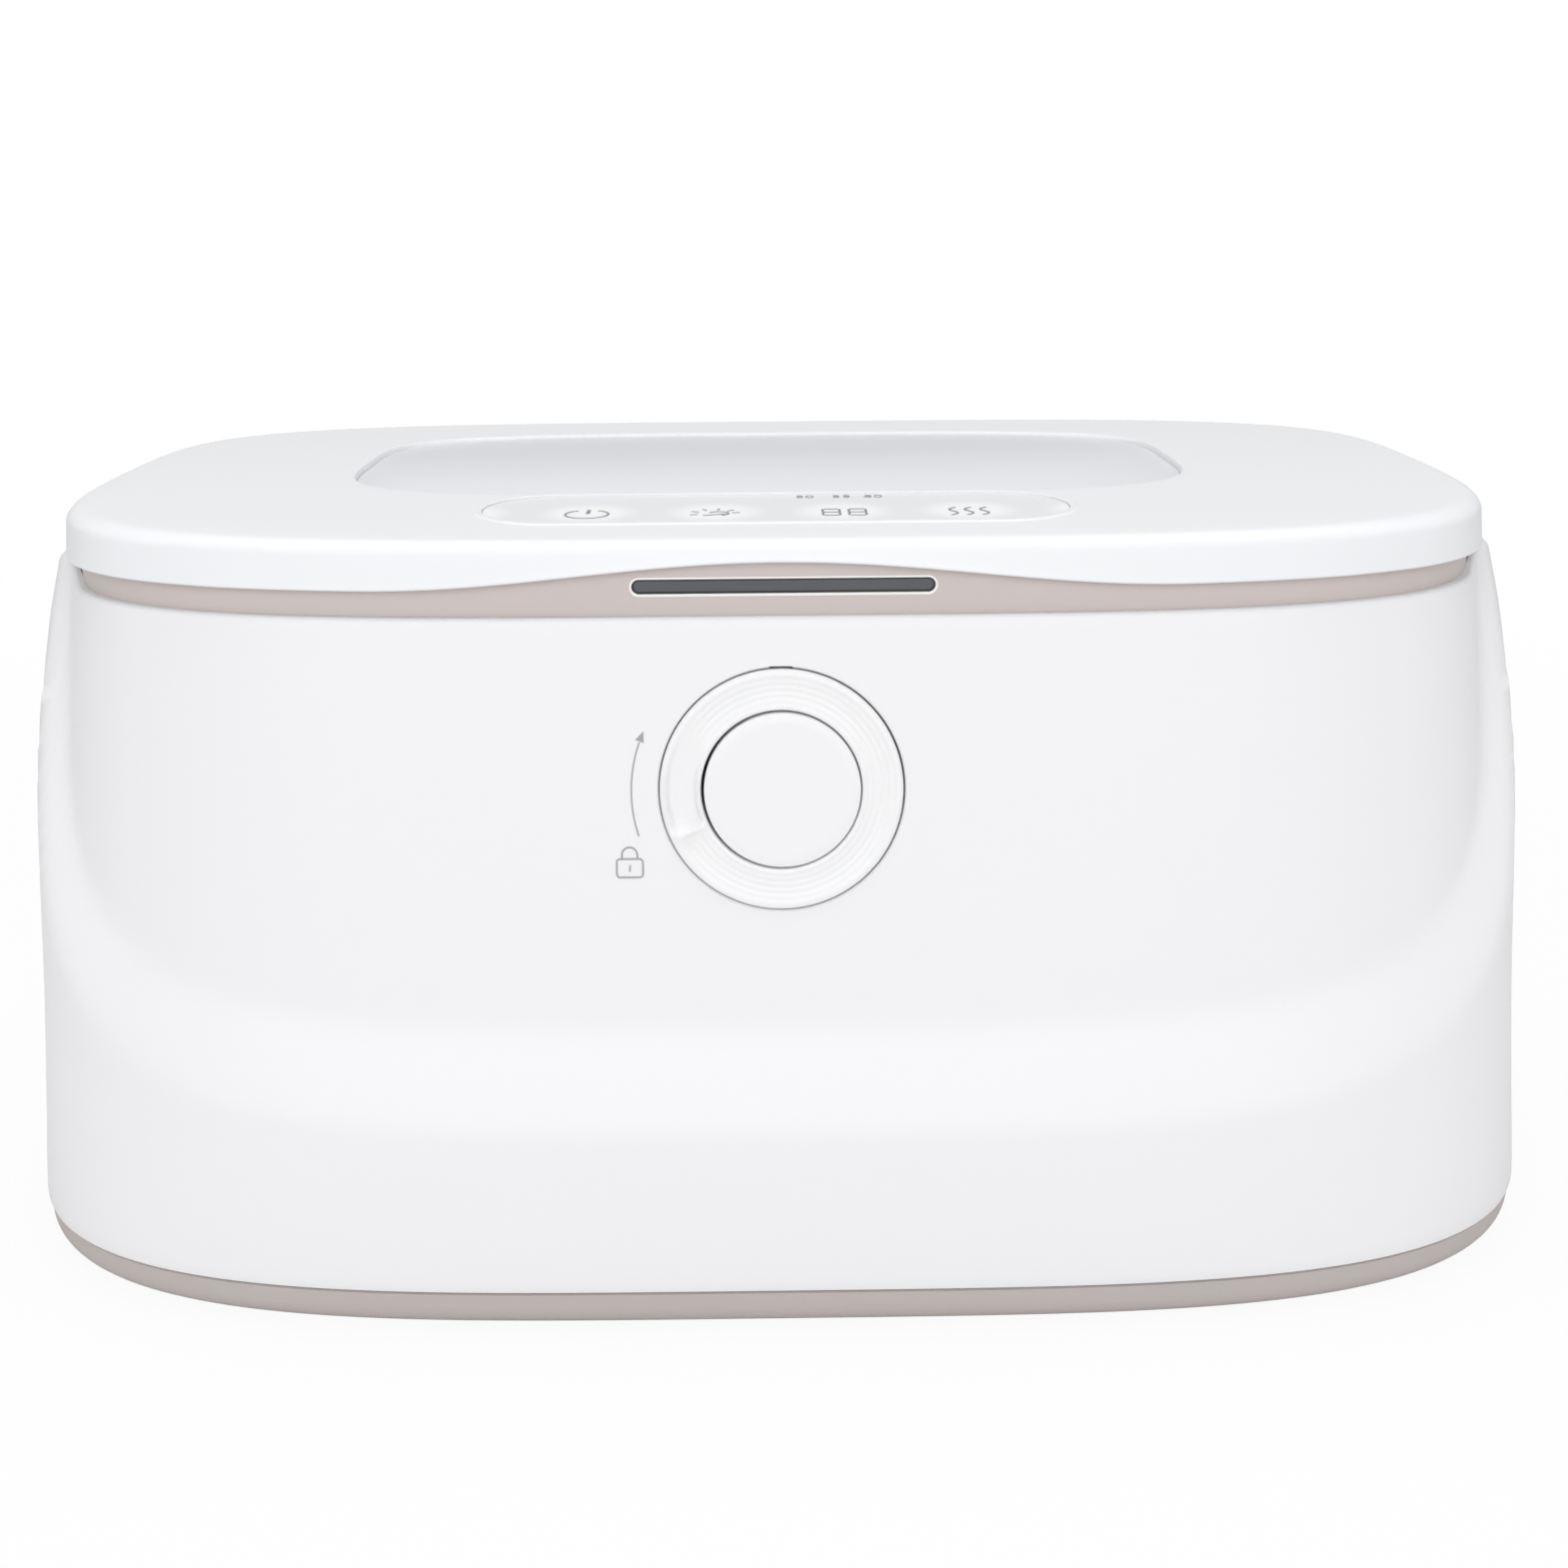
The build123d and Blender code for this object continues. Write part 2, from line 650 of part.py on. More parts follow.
# ---- lock and release button ----------------------------------------------------------------
def lock_ring():
    outer = ring_hole - ring_gap
    bore = button_radius + button_gap
    solid = disc(outer, -ring_proud, ring_flange[1]) + disc(ring_flange_radius, *ring_flange)
    solid -= disc(bore, -2, ring_flange[1] + 1)
    solid -= disc(button_flange_radius + 0.4, ring_step, ring_flange[1] + 1)
    # the face dishes slightly towards the button
    solid -= Pos(0, 0, ring_proud + 0.01) * Cone(bore, outer - 1.2, 0.35, align=(Align.CENTER, Align.CENTER, Align.MAX))
    tail = annulus(tail_radius[1], tail_radius[0], ring_flange[1] - 0.6, toe_depth[1])
    tail &= wedge(tail_radius[1], -tail_half_angle, tail_half_angle, 0, toe_depth[1] + 1)
    toe = plate((5.0, tail_radius[0] + 0.6), (-1.8, 1.8), *toe_depth)
    return lock_plane * (solid + tail + toe)


def release_button():
    solid = disc(button_radius, -0.2, button_flange[1]) + disc(button_flange_radius, *button_flange)
    solid -= Pos(0, 0, 36.0 - 0.35) * Sphere(36.0)
    solid += disc(stem_radius, button_flange[1] - 0.5, leaf_depth[0] - 0.3)
    return lock_plane * solid


def lock_housing():
    low = ring_flange[1] + 0.3
    cup = disc(cup_radius + 0.2, wall + 0.15, cup_floor[1], sides=cup_sides)
    cup -= disc(cup_radius - cup_wall + 0.2, 0, low, sides=cup_sides)
    cup -= disc(tail_radius[1] + 1.2, 0, cup_floor[0], sides=cup_sides)
    cup += disc(3.4, 6.9, cup_floor[1], sides=screw_sides)
    cup -= disc(stem_radius + stem_gap, 5, 12)
    slot = annulus(tail_radius[1] + 0.4, tail_radius[0] - 0.4, cup_floor[0] - 1, cup_floor[1] + 1)
    cup -= slot & wedge(tail_radius[1] + 1, -lock_turn - tail_half_angle - 3, tail_half_angle + 3, 0, 20)
    cup -= plate((-6.5, 6.5), (16.6, 30), 5.5, 20)
    for side in (-1, 1):
        ear = plate(sorted((side * 19.4, side * 28.5)), (-3.5, 3.5), 6.0, 8.0)
        cup += ear
    # foot that carries the latch leaf
    cup += plate((-4, 4), (leaf_root, -13.5), cup_floor[0], leaf_depth[0])
    return lock_plane * cup


def latch_leaf():
    leaf = plate((-leaf_half_width, leaf_half_width), (leaf_root, leaf_tip), *leaf_depth)
    leaf += plate((0, 9), (-1.5, 1.5), *leaf_depth)
    leaf += plate((-leaf_half_width, leaf_half_width), (leaf_tip - 1.6, leaf_tip), nose_depth, leaf_depth[1])
    return lock_plane * leaf


def coil(radius, wire, low, high, turns):
    """Square wire coil round +Z from low to high."""
    path = Helix(pitch=(high - low - wire) / turns, height=high - low - wire, radius=radius)
    start = path @ 0
    face = Plane(origin=start, z_dir=path % 0) * Rectangle(wire, wire)
    return Pos(0, 0, low + wire / 2) * sweep(face, path=path, is_frenet=True)


def button_spring():
    low, high = -cup_floor[0] + 0.15, -button_flange[1] - 0.15
    return lock_plane * coil(4.6, 0.6, low, high, 2.0)


# ---- lid ------------------------------------------------------------------------------------------
def crown(drop=0.0):
    """Everything under the lid's crowned top, which curves from front to back only."""
    reach, low = lid_half_y + 5.1, lid_z - 20
    sag = lid_crown * (reach / lid_half_y) ** 2
    top = lid_top_z - drop
    arc = SagittaArc((-reach, top - sag), (reach, top - sag), sag)
    sides = Polyline((reach, top - sag), (reach, low), (-reach, low), (-reach, top - sag))
    half = lid_half_x + 10
    face = Plane(origin=(-half, 0, 0), x_dir=(0, 1, 0), z_dir=(1, 0, 0)) * make_face([arc, sides])
    return extrude(face, 2 * half, dir=(1, 0, 0))


def window_face(grow, z):
    ends = [(x, y) for x, y in zip(window_end_x, window_end_y)]
    (ax, ay), (bx, by) = ends
    front, rear = window_mid_y[0], window_mid_y[1]
    edges = [
        ThreePointArc((-ax, ay), (0, front), (ax, ay)),
        Line((ax, ay), (bx, by)),
        ThreePointArc((bx, by), (0, rear), (-bx, by)),
        Line((-bx, by), (-ax, ay)),
    ]
    face = make_face(edges)
    face = fillet(face.vertices(), window_corner)
    if grow:
        face = offset(face, grow)
    return Pos(0, 0, z) * face


def window_block(grow, low, high):
    return extrude(window_face(grow, low), high - low, dir=(0, 0, 1))


def strip_block(grow, low, high):
    middle = (strip_y[0] + strip_y[1]) / 2
    face = SlotOverall(2 * (strip_half_x + grow), strip_y[1] - strip_y[0] + 2 * grow)
    return extrude(Pos(0, middle, low) * face, high - low, dir=(0, 0, 1))


def arch_cut():
    """The arch in the lid's front lower edge, a raised cosine that starts just under the edge."""
    steps = 8
    start = lid_z - 0.25
    points = []
    for i in range(-steps, steps + 1):
        bump = (1 + cos(pi * i / steps)) / 2
        points.append((arch_half * i / steps, start + (arch_rise + 0.25) * bump))
    curve = Spline(*points, tangents=[(1, 0), (1, 0)])
    low = lid_z - 2
    sides = Polyline((arch_half, start), (arch_half, low), (-arch_half, low), (-arch_half, start))
    behind = Plane(origin=(0, 10 - lid_half_y, 0), x_dir=(1, 0, 0), z_dir=(0, -1, 0))
    return extrude(behind * make_face([curve, sides]), 20, dir=(0, -1, 0))


def lid_cover():
    sides = lid_round + lid_crown

    def face(inset, z):
        return oval_face(lid_half_x - inset, lid_half_y - inset, lid_power, z)

    low = lid_top_z - sides
    drawn = lid_lean * (low - lid_z) / lid_rise
    solid = loft([face(0, lid_z), face(drawn, low)], ruled=True)
    rounding = []
    for step in range(4):
        angle = radians(27 * step)
        rounding.append(face(drawn + lid_round * (1 - cos(angle)), low + (sides + 0.1) * sin(angle)))
    solid += loft(rounding, ruled=True)
    solid &= crown()
    inner = (lid_half_x - lid_skin, lid_half_y - lid_skin, lid_power)
    solid -= oval_block(*inner, lid_z - 1, lid_top_z - lid_roof)
    solid -= arch_cut()
    solid -= window_block(0, lid_z, lid_top_z + 1)
    solid -= strip_block(0, strip_floor_z, lid_top_z + 1)
    solid -= block((-37, 37), (icon_y - 6, icon_y + 6), (lid_z, strip_floor_z + 1))
    for x, y in four(lid_screw_at):
        post = peg(3.2, liner_z[1], lid_top_z - lid_roof + 0.3, x, y)
        solid += post - peg(1.15, liner_z[1] - 1, liner_z[1] + 2.2, x, y)
    # hinge barrel behind the rear edge
    lug = block((-lug_half, lug_half), (lid_half_y - lid_skin + 0.1, hinge_y + 2.6), (hinge_z, lid_z + 2.4))
    lug += along_x(barrel_radius, -lug_half, lug_half)
    solid += lug
    return solid - along_x(pin_radius + pin_gap, -lug_half - 1, lug_half + 1)


strip_floor_z = lid_top_z - 1.6


def hinge_pin():
    half = lug_half + running + ear_length - 0.6
    return along_x(pin_radius, -half, half)


def lid_window():
    top = lid_top_z - lid_roof
    plug = window_block(-0.2, top - 0.3, lid_top_z - window_sunk - 0.1)
    return plug + window_block(window_flange, top - 1.5, top - 0.1)


def touch_panel():
    return strip_block(-0.15, strip_floor_z, lid_top_z + 1) & crown(strip_sunk)


def touch_board():
    top = lid_top_z - lid_roof
    board = block((-40, 40), (icon_y - 8, icon_y + 7), (top - 1.3, top - 0.1))
    for x in (icon_x[0], icon_x[1], icon_x[3]):
        board += block((x - 2.5, x + 2.5), (icon_y - 2.5, icon_y + 2.5), (top - 0.2, top + 0.7))
    return board


def digit_display():
    x = icon_x[2]
    return block((x - 7.5, x + 7.5), (icon_y - 5.2, icon_y + 5.2), (lid_top_z - lid_roof - 0.1, strip_floor_z - 0.1))


def lid_liner():
    low, high = liner_z
    solid = oval_block(*liner_half, lid_power, low, high, plain=True)
    solid += tub_block(-3.2, tray_z, low + 0.5, plain=True)
    solid -= tub_block(-4.8, tray_z + 1.6, high + 1, plain=True)
    for x, y in four(lid_screw_at):
        solid -= peg(1.25, low - 1, high + 1, x, y)
    return solid


def lid_gasket():
    outer = tub_block(2.6, deck_z + 1.5, liner_z[0], plain=True)
    return outer - tub_block(-1.2, deck_z, liner_z[0] + 1, plain=True)


def lid_screws():
    return [screw(x, y, liner_z[0], 3.4, radius=1.1, head=2.3) for x, y in four(lid_screw_at)]


def night_light_board():
    low = tray_z + 1.6
    board = block((-32, 32), (-8, 20), (low, low + 1.2))
    for k in (-1, 0, 1):
        board += block((22 * k - 2.5, 22 * k + 2.5), (3.5, 8.5), (low + 1.1, low + 2.1))
    return board


def lid_striker():
    half = striker_half_x
    solid = block((-half - 3, half + 3), (striker_y[0], ledge_y + 1.2), (liner_z[0] - 1.1, liner_z[0]))
    solid += block((-half, half), striker_y, (ledge_z[0], liner_z[0] - 0.5))
    solid += block((-half, half), (striker_y[0], ledge_y), ledge_z)
    return solid


if __name__ == "__main__":
    os.makedirs("parts", exist_ok=True)
    makers = [
        outer_shell, base_pan, rubber_feet, base_screws, collar, light_window, light_board, wipe_tub,
        heater_plate, heater_film, insulation_pad, temperature_sensor, thermal_fuse, heater_retainer,
        main_board, board_components, dc_jack, lock_ring, release_button,
        lock_housing, latch_leaf, button_spring, hinge_pin, lid_cover,
        lid_window, touch_panel, touch_board, digit_display, lid_liner, lid_gasket, lid_screws,
        night_light_board, lid_striker,
    ]
    for maker in makers:
        made = maker()
        shape = Compound(children=list(made)) if isinstance(made, list) else made
        export_step(shape, "parts/" + maker.__name__ + ".step")
        print(maker.__name__)
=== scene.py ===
import math

import bmesh
import bpy
from mathutils import Matrix, Vector


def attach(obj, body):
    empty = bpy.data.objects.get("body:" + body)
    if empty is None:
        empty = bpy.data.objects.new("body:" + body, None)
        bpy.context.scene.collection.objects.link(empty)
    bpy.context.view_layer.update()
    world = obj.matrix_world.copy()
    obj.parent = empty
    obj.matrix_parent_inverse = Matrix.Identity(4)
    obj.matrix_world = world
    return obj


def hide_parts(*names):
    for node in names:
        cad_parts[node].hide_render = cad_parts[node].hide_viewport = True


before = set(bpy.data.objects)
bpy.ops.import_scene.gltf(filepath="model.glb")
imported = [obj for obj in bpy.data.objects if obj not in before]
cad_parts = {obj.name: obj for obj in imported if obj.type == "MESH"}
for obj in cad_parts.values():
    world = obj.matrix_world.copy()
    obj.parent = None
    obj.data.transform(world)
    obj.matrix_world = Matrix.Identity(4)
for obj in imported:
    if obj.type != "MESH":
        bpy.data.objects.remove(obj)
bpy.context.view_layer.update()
print("frame loaded:", len(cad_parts), "nodes")

mm = 0.001

# lines that several pieces share, in millimetres
body = {
    "seamZ": 7.35,
    "panZ": 1.2,
    "rimZ": 106.4,
    "wall": 2.4,
    "panelHalf": (111.46, 68.9),
    "panelPower": 3.84,
    "panelLean": 6.5,
    "steps": 384,
}
lid = {
    "half": (112.75, 69.9),
    "power": 3.79,
    "edgeZ": 110.3,
    "topZ": 118.1,
    "roofZ": 115.6,
    "skin": 1.6,
    "sag": 0.000205,  # the top curves from front to rear only
    "archHalf": 58.6,
    "archRise": 3.85,
    "sideZ": 115.3,  # where the side ends and the rounding of the top edge starts
    "sideLean": (0.44, 0.95),  # inset at the lower and at the upper end of the side
    "round": 2.9,
    "topInset": 3.3,
    "sharp": 38,
}
lock = {  # radii round the lock's axis
    "x": 0.3,
    "z": 81.9,
    "hole": 17.58,
    "ring": 17.35,
    "bore": 11.5,
    "button": 11.2,
    "mark": (1.65, 0.12),  # half width and height of the dark mark over the ring
    "mouth": 0.25,  # the hole's rounded mouth
    "ringShift": -0.04,
    "buttonShift": (0.09, -0.04),
    "back": 3.4,  # how deep the ring reaches
    "buttonBack": 3.2,
}
hinge = {"y": 73.0, "z": 106.5, "radius": 4.2, "half": 25.0, "ear": 10.0, "gap": 0.3, "edge": 0.4}
lean = math.radians(body["panelLean"])
lockY = -(body["panelHalf"][1] + (body["rimZ"] - lock["z"]) * math.tan(lean))


def signedPower(value, exponent):
    return math.copysign(abs(value) ** exponent, value)


def oval(halfX, halfY, squareness, turn):  # turn runs round from the middle of the front
    x = halfX * signedPower(math.sin(turn), 2 / squareness)
    return x, -halfY * signedPower(math.cos(turn), 2 / squareness)


# the oval's own parameter for a direction seen from its centre
def evenTurn(angle, half=lid["half"], p=lid["power"]):
    halfX, halfY = half
    x, y = math.sin(angle), -math.cos(angle)
    r = (abs(x / halfX) ** p + abs(y / halfY) ** p) ** (-1 / p)
    return math.atan2(signedPower(r * x / halfX, p / 2), signedPower(-r * y / halfY, p / 2))


def ovalRing(halfX, halfY, squareness, z):
    return lambda angle: (*oval(halfX, halfY, squareness, evenTurn(angle)), z)


def roundedRing(halfX, halfY, corner, z, middle=(0.0, 0.0)):  # rounded rectangle, or a stadium
    def place(angle):
        s, c = math.sin(angle), -math.cos(angle)
        x = math.copysign(halfX - corner, s) + corner * s
        return middle[0] + x, middle[1] + math.copysign(halfY - corner, c) + corner * c, z

    return place


def startRing(bm, steps, place):  # a circle shaped into an outline; returns its edges
    turns = bm.verts.layers.float.get("turn") or bm.verts.layers.float.new("turn")
    made = bmesh.ops.create_circle(bm, segments=steps, radius=1.0)
    half = math.pi / steps
    for v in made["verts"]:
        v[turns] = math.atan2(v.co.x, -v.co.y) + half
        v.co = Vector(place(v[turns]))
    return list({e for v in made["verts"] for e in v.link_edges})


def nextRing(bm, edges, place):  # draws the outline on to its next place
    turns = bm.verts.layers.float["turn"]
    made = bmesh.ops.extrude_edge_only(bm, edges=edges)["geom"]
    for v in [g for g in made if isinstance(g, bmesh.types.BMVert)]:
        v.co = Vector(place(v[turns]))
    return [g for g in made if isinstance(g, bmesh.types.BMEdge) and all(v in made for v in g.verts)]


def stackRings(bm, steps, places, capStart=False, capEnd=False, close=False):
    first = edges = startRing(bm, steps, places[0])
    for place in places[1:]:
        edges = nextRing(bm, edges, place)
        edges = [e for e in edges if len(e.link_faces) == 1]
    if capStart:
        bmesh.ops.contextual_create(bm, geom=first)
    if capEnd:
        bmesh.ops.contextual_create(bm, geom=edges)
    if close:
        bmesh.ops.bridge_loops(bm, edges=first + edges)
    return bm


def latheProfile(bm, profile, steps=160):  # spins (radius, height) points round Z
    verts = [bm.verts.new((r, 0, z)) for r, z in profile]
    edges = [bm.edges.new(pair) for pair in zip(verts, verts[1:])]
    bmesh.ops.spin(
        bm, geom=verts + edges, axis=(0, 0, 1), cent=(0, 0, 0), steps=steps,
        angle=2 * math.pi, use_merge=True,
    )
    bmesh.ops.remove_doubles(bm, verts=bm.verts, dist=1e-5)
    return bm


def addBox(bm, x, y, z, edge=0.0):
    size = [b - a for a, b in (x, y, z)]
    centre = [(a + b) / 2 for a, b in (x, y, z)]
    place = Matrix.Translation(centre) @ Matrix.Diagonal((*size, 1))
    made = bmesh.ops.create_cube(bm, size=1.0, matrix=place)
    if edge:
        edges = list({e for v in made["verts"] for e in v.link_edges})
        bmesh.ops.bevel(
            bm, geom=edges, offset=edge, affect="EDGES", segments=2, profile=0.5, material=-1
        )
    return made["verts"]


def addRod(bm, radius, low, high, matrix, segments=48, edge=0.0):
    place = matrix @ Matrix.Translation((0, 0, (low + high) / 2))
    made = bmesh.ops.create_cone(
        bm, cap_ends=True, segments=segments, radius1=radius, radius2=radius,
        depth=high - low, matrix=place,
    )
    if edge:
        rim = [e for e in {e for v in made["verts"] for e in v.link_edges}
               if any(len(f.verts) > 4 for f in e.link_faces)]
        bmesh.ops.bevel(
            bm, geom=rim, offset=edge, affect="EDGES", segments=3, profile=0.5, material=-1
        )
    return made["verts"]


def makeObject(bm, name, sharp=34.0, recalc=True):
    if recalc:
        bmesh.ops.recalc_face_normals(bm, faces=bm.faces)
    for v in bm.verts:
        v.co *= mm
    markEdges(bm, sharp)
    mesh = bpy.data.meshes.new(name)
    bm.to_mesh(mesh)
    bm.free()
    obj = bpy.data.objects.new(name, mesh)
    bpy.context.scene.collection.objects.link(obj)
    return obj


def markEdges(bm, sharp):
    for f in bm.faces:
        f.smooth = True
    for e in bm.edges:
        e.smooth = len(e.link_faces) == 2 and e.calc_face_angle(0) < math.radians(sharp)


def cutAway(obj, *cutters, sharp=34.0):  # cuts the cutters out of a piece for good
    for cutter in cutters:
        modifier = obj.modifiers.new("cut", "BOOLEAN")
        modifier.object = cutter
        modifier.operation = "DIFFERENCE"
        modifier.solver = "EXACT"
    graph = bpy.context.evaluated_depsgraph_get()
    mesh = bpy.data.meshes.new_from_object(obj.evaluated_get(graph))
    obj.modifiers.clear()
    old, obj.data = obj.data, mesh
    bpy.data.meshes.remove(old)
    bm = bmesh.new()
    bm.from_mesh(mesh)
    bmesh.ops.remove_doubles(bm, verts=bm.verts, dist=1e-7)
    markEdges(bm, sharp)
    bm.to_mesh(mesh)
    bm.free()
    for cutter in cutters:
        bpy.data.objects.remove(cutter)
    return obj


def dress(obj, material, rides, slotName, *stands):
    obj.data.materials.clear()
    obj.data.materials.append(material)
    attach(obj, rides)
    if stands:
        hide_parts(*stands)
    return obj


# origin on the panel at the lock's middle, Z out of the panel
lockFrame = Matrix((
    (1, 0, 0, lock["x"]),
    (0, math.sin(lean), -math.cos(lean), lockY),
    (0, math.cos(lean), math.sin(lean), lock["z"]),
    (0, 0, 0, 1),
))
hingeFrame = Matrix.Translation((0, hinge["y"], hinge["z"])) @ Matrix.Rotation(math.pi / 2, 4, "Y")


def plastic(name, color, roughness=0.4, bump=0.0, grain=900.0):
    material = bpy.data.materials.new(name)
    material.use_nodes = True
    nodes, links = material.node_tree.nodes, material.node_tree.links
    shader = nodes["Principled BSDF"]
    shader.inputs["Base Color"].default_value = (*color, 1)
    shader.inputs["Roughness"].default_value = roughness
    if bump:
        place = nodes.new("ShaderNodeTexCoord")
        noise = nodes.new("ShaderNodeTexNoise")
        noise.inputs["Scale"].default_value = grain
        noise.inputs["Detail"].default_value = 3
        relief = nodes.new("ShaderNodeBump")
        relief.inputs["Strength"].default_value = bump
        relief.inputs["Distance"].default_value = 0.2 * mm
        links.new(place.outputs["Object"], noise.inputs["Vector"])
        links.new(noise.outputs["Fac"], relief.inputs["Height"])
        links.new(relief.outputs["Normal"], shader.inputs["Normal"])
    return material


def metal(name, color, roughness=0.3):
    material = plastic(name, color, roughness, bump=0.15, grain=1500.0)
    material.node_tree.nodes["Principled BSDF"].inputs["Metallic"].default_value = 1.0
    return material


def paintedHighlightPanel(name, color, highlight, roughness):  # painted highlight, brighter round each of the evenly spaced marks where the dished keys would shine
    material = plastic(name, color, roughness)
    nodes, links = material.node_tree.nodes, material.node_tree.links
    place = nodes.new("ShaderNodeTexCoord")
    split = nodes.new("ShaderNodeSeparateXYZ")
    links.new(place.outputs["Object"], split.inputs[0])

    def mathNode(operation, first, second):
        node = nodes.new("ShaderNodeMath")
        node.operation = operation
        links.new(first, node.inputs[0])
        node.inputs[1].default_value = second
        return node.outputs[0]

    half = keyHighlight["pitch"] * mm / 2
    along = mathNode("SUBTRACT", split.outputs[0], keyHighlight["x"] * mm)
    along = mathNode("SUBTRACT", mathNode("PINGPONG", along, half), half)
    join = nodes.new("ShaderNodeCombineXYZ")
    links.new(along, join.inputs[0])
    links.new(mathNode("SUBTRACT", split.outputs[1], keyHighlight["y"] * mm), join.inputs[1])
    mix = nodes.new("ShaderNodeMix")
    mix.data_type = "RGBA"
    mix.inputs["A"].default_value = (*color, 1)
    mix.inputs["B"].default_value = (*highlight, 1)
    fade = fadeByDistance(nodes, links, join.outputs[0], (keyHighlight["inner"] * mm, keyHighlight["outer"] * mm), (1.0, 0.0))
    links.new(fade, mix.inputs["Factor"])
    links.new(mix.outputs["Result"], nodes["Principled BSDF"].inputs["Base Color"])
    return material


def fadeByDistance(nodes, links, vector, distances, values):
    away = nodes.new("ShaderNodeVectorMath")
    away.operation = "LENGTH"
    fade = nodes.new("ShaderNodeMapRange")
    fade.interpolation_type = "SMOOTHSTEP"
    for key, value in zip(("From Min", "From Max", "To Min", "To Max"), (*distances, *values)):
        fade.inputs[key].default_value = value
    links.new(vector, away.inputs[0])
    links.new(away.outputs["Value"], fade.inputs["Value"])
    return fade.outputs["Result"]


# painted highlight spots under the icons, standing in for the shine of their dished keys: spacing, place of
# their row, and where they fade
keyHighlight = {"pitch": 18.9, "x": 0.4, "y": -47.0, "inner": 3.5, "outer": 8.5}
finish = {
    "shellWhite": plastic("shellWhite", (0.80, 0.80, 0.815), 0.38, bump=0.05),
    "lidWhite": plastic("lidWhite", (0.80, 0.81, 0.83), 0.4, bump=0.02),
    "ringWhite": plastic("ringWhite", (0.82, 0.82, 0.83), 0.3),
    "buttonWhite": plastic("buttonWhite", (0.81, 0.81, 0.825), 0.3),
    "windowWhite": plastic("windowWhite", (0.735, 0.745, 0.775), 0.3),
    # white panel with painted highlights round the keys
    "panelWhite": paintedHighlightPanel("panelWhite", (0.79, 0.80, 0.82), (0.92, 0.92, 0.925), 0.3),
    "taupe": plastic("taupe", (0.56, 0.495, 0.475), 0.45, bump=0.08),
    "panTaupe": plastic("panTaupe", (0.47, 0.425, 0.41), 0.5, bump=0.15),
    "smoked": plastic("smoked", (0.085, 0.088, 0.095), 0.25),
    # pale colour painted as the highlight on the light slot's edge
    "rimHighlight": plastic("rimHighlight", (0.9, 0.89, 0.88), 0.3),
    "print": plastic("print", (0.34, 0.34, 0.35), 0.5),
    "iconPrint": plastic("iconPrint", (0.24, 0.24, 0.26), 0.5),
    "rubber": plastic("rubber", (0.06, 0.06, 0.065), 0.8, bump=0.3),
    "tubWhite": plastic("tubWhite", (0.78, 0.79, 0.78), 0.45, bump=0.06),
    "seal": plastic("seal", (0.6, 0.6, 0.6), 0.6, bump=0.1),
    "dark": plastic("dark", (0.02, 0.02, 0.022), 0.45, bump=0.1),
    "housingGrey": plastic("housingGrey", (0.32, 0.32, 0.33), 0.5, bump=0.15),
    "board": plastic("board", (0.02, 0.11, 0.045), 0.4, bump=0.1, grain=2500.0),
    "film": plastic("film", (0.5, 0.18, 0.03), 0.3),
    "wool": plastic("wool", (0.7, 0.67, 0.6), 0.95, bump=0.8, grain=1800.0),
    "steel": metal("steel", (0.56, 0.56, 0.57), 0.35),
    "spring": metal("spring", (0.5, 0.5, 0.52), 0.3),
    "aluminium": metal("aluminium", (0.78, 0.78, 0.8), 0.35),
    "brass": metal("brass", (0.66, 0.46, 0.2), 0.35),
}
nodeFinish = {
    "rubber_feet": "rubber", "base_screws": "steel", "light_board": "board",
    "heater_plate": "aluminium", "heater_film": "film", "insulation_pad": "wool",
    "temperature_sensor": "brass", "thermal_fuse": "brass", "heater_retainer": "steel",
    "main_board": "board", "board_components": "dark", "dc_jack": "dark",
    "lock_housing": "housingGrey", "latch_leaf": "housingGrey", "button_spring": "spring",
    "hinge_pin": "steel", "touch_board": "board", "digit_display": "dark",
    "lid_liner": "tubWhite", "lid_gasket": "seal", "lid_screws": "steel",
    "night_light_board": "board", "lid_striker": "steel", "wipe_tub": "tubWhite",
    "outer_shell": "shellWhite", "base_pan": "panTaupe", "collar": "taupe", "light_window": "smoked",
    "lock_ring": "ringWhite", "release_button": "buttonWhite", "lid_cover": "lidWhite",
    "lid_window": "windowWhite", "touch_panel": "panelWhite",
}
for nodeName, finishName in nodeFinish.items():
    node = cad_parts[nodeName]
    node.data.materials.clear()
    node.data.materials.append(finish[finishName])
print("finishes made:", len(finish))


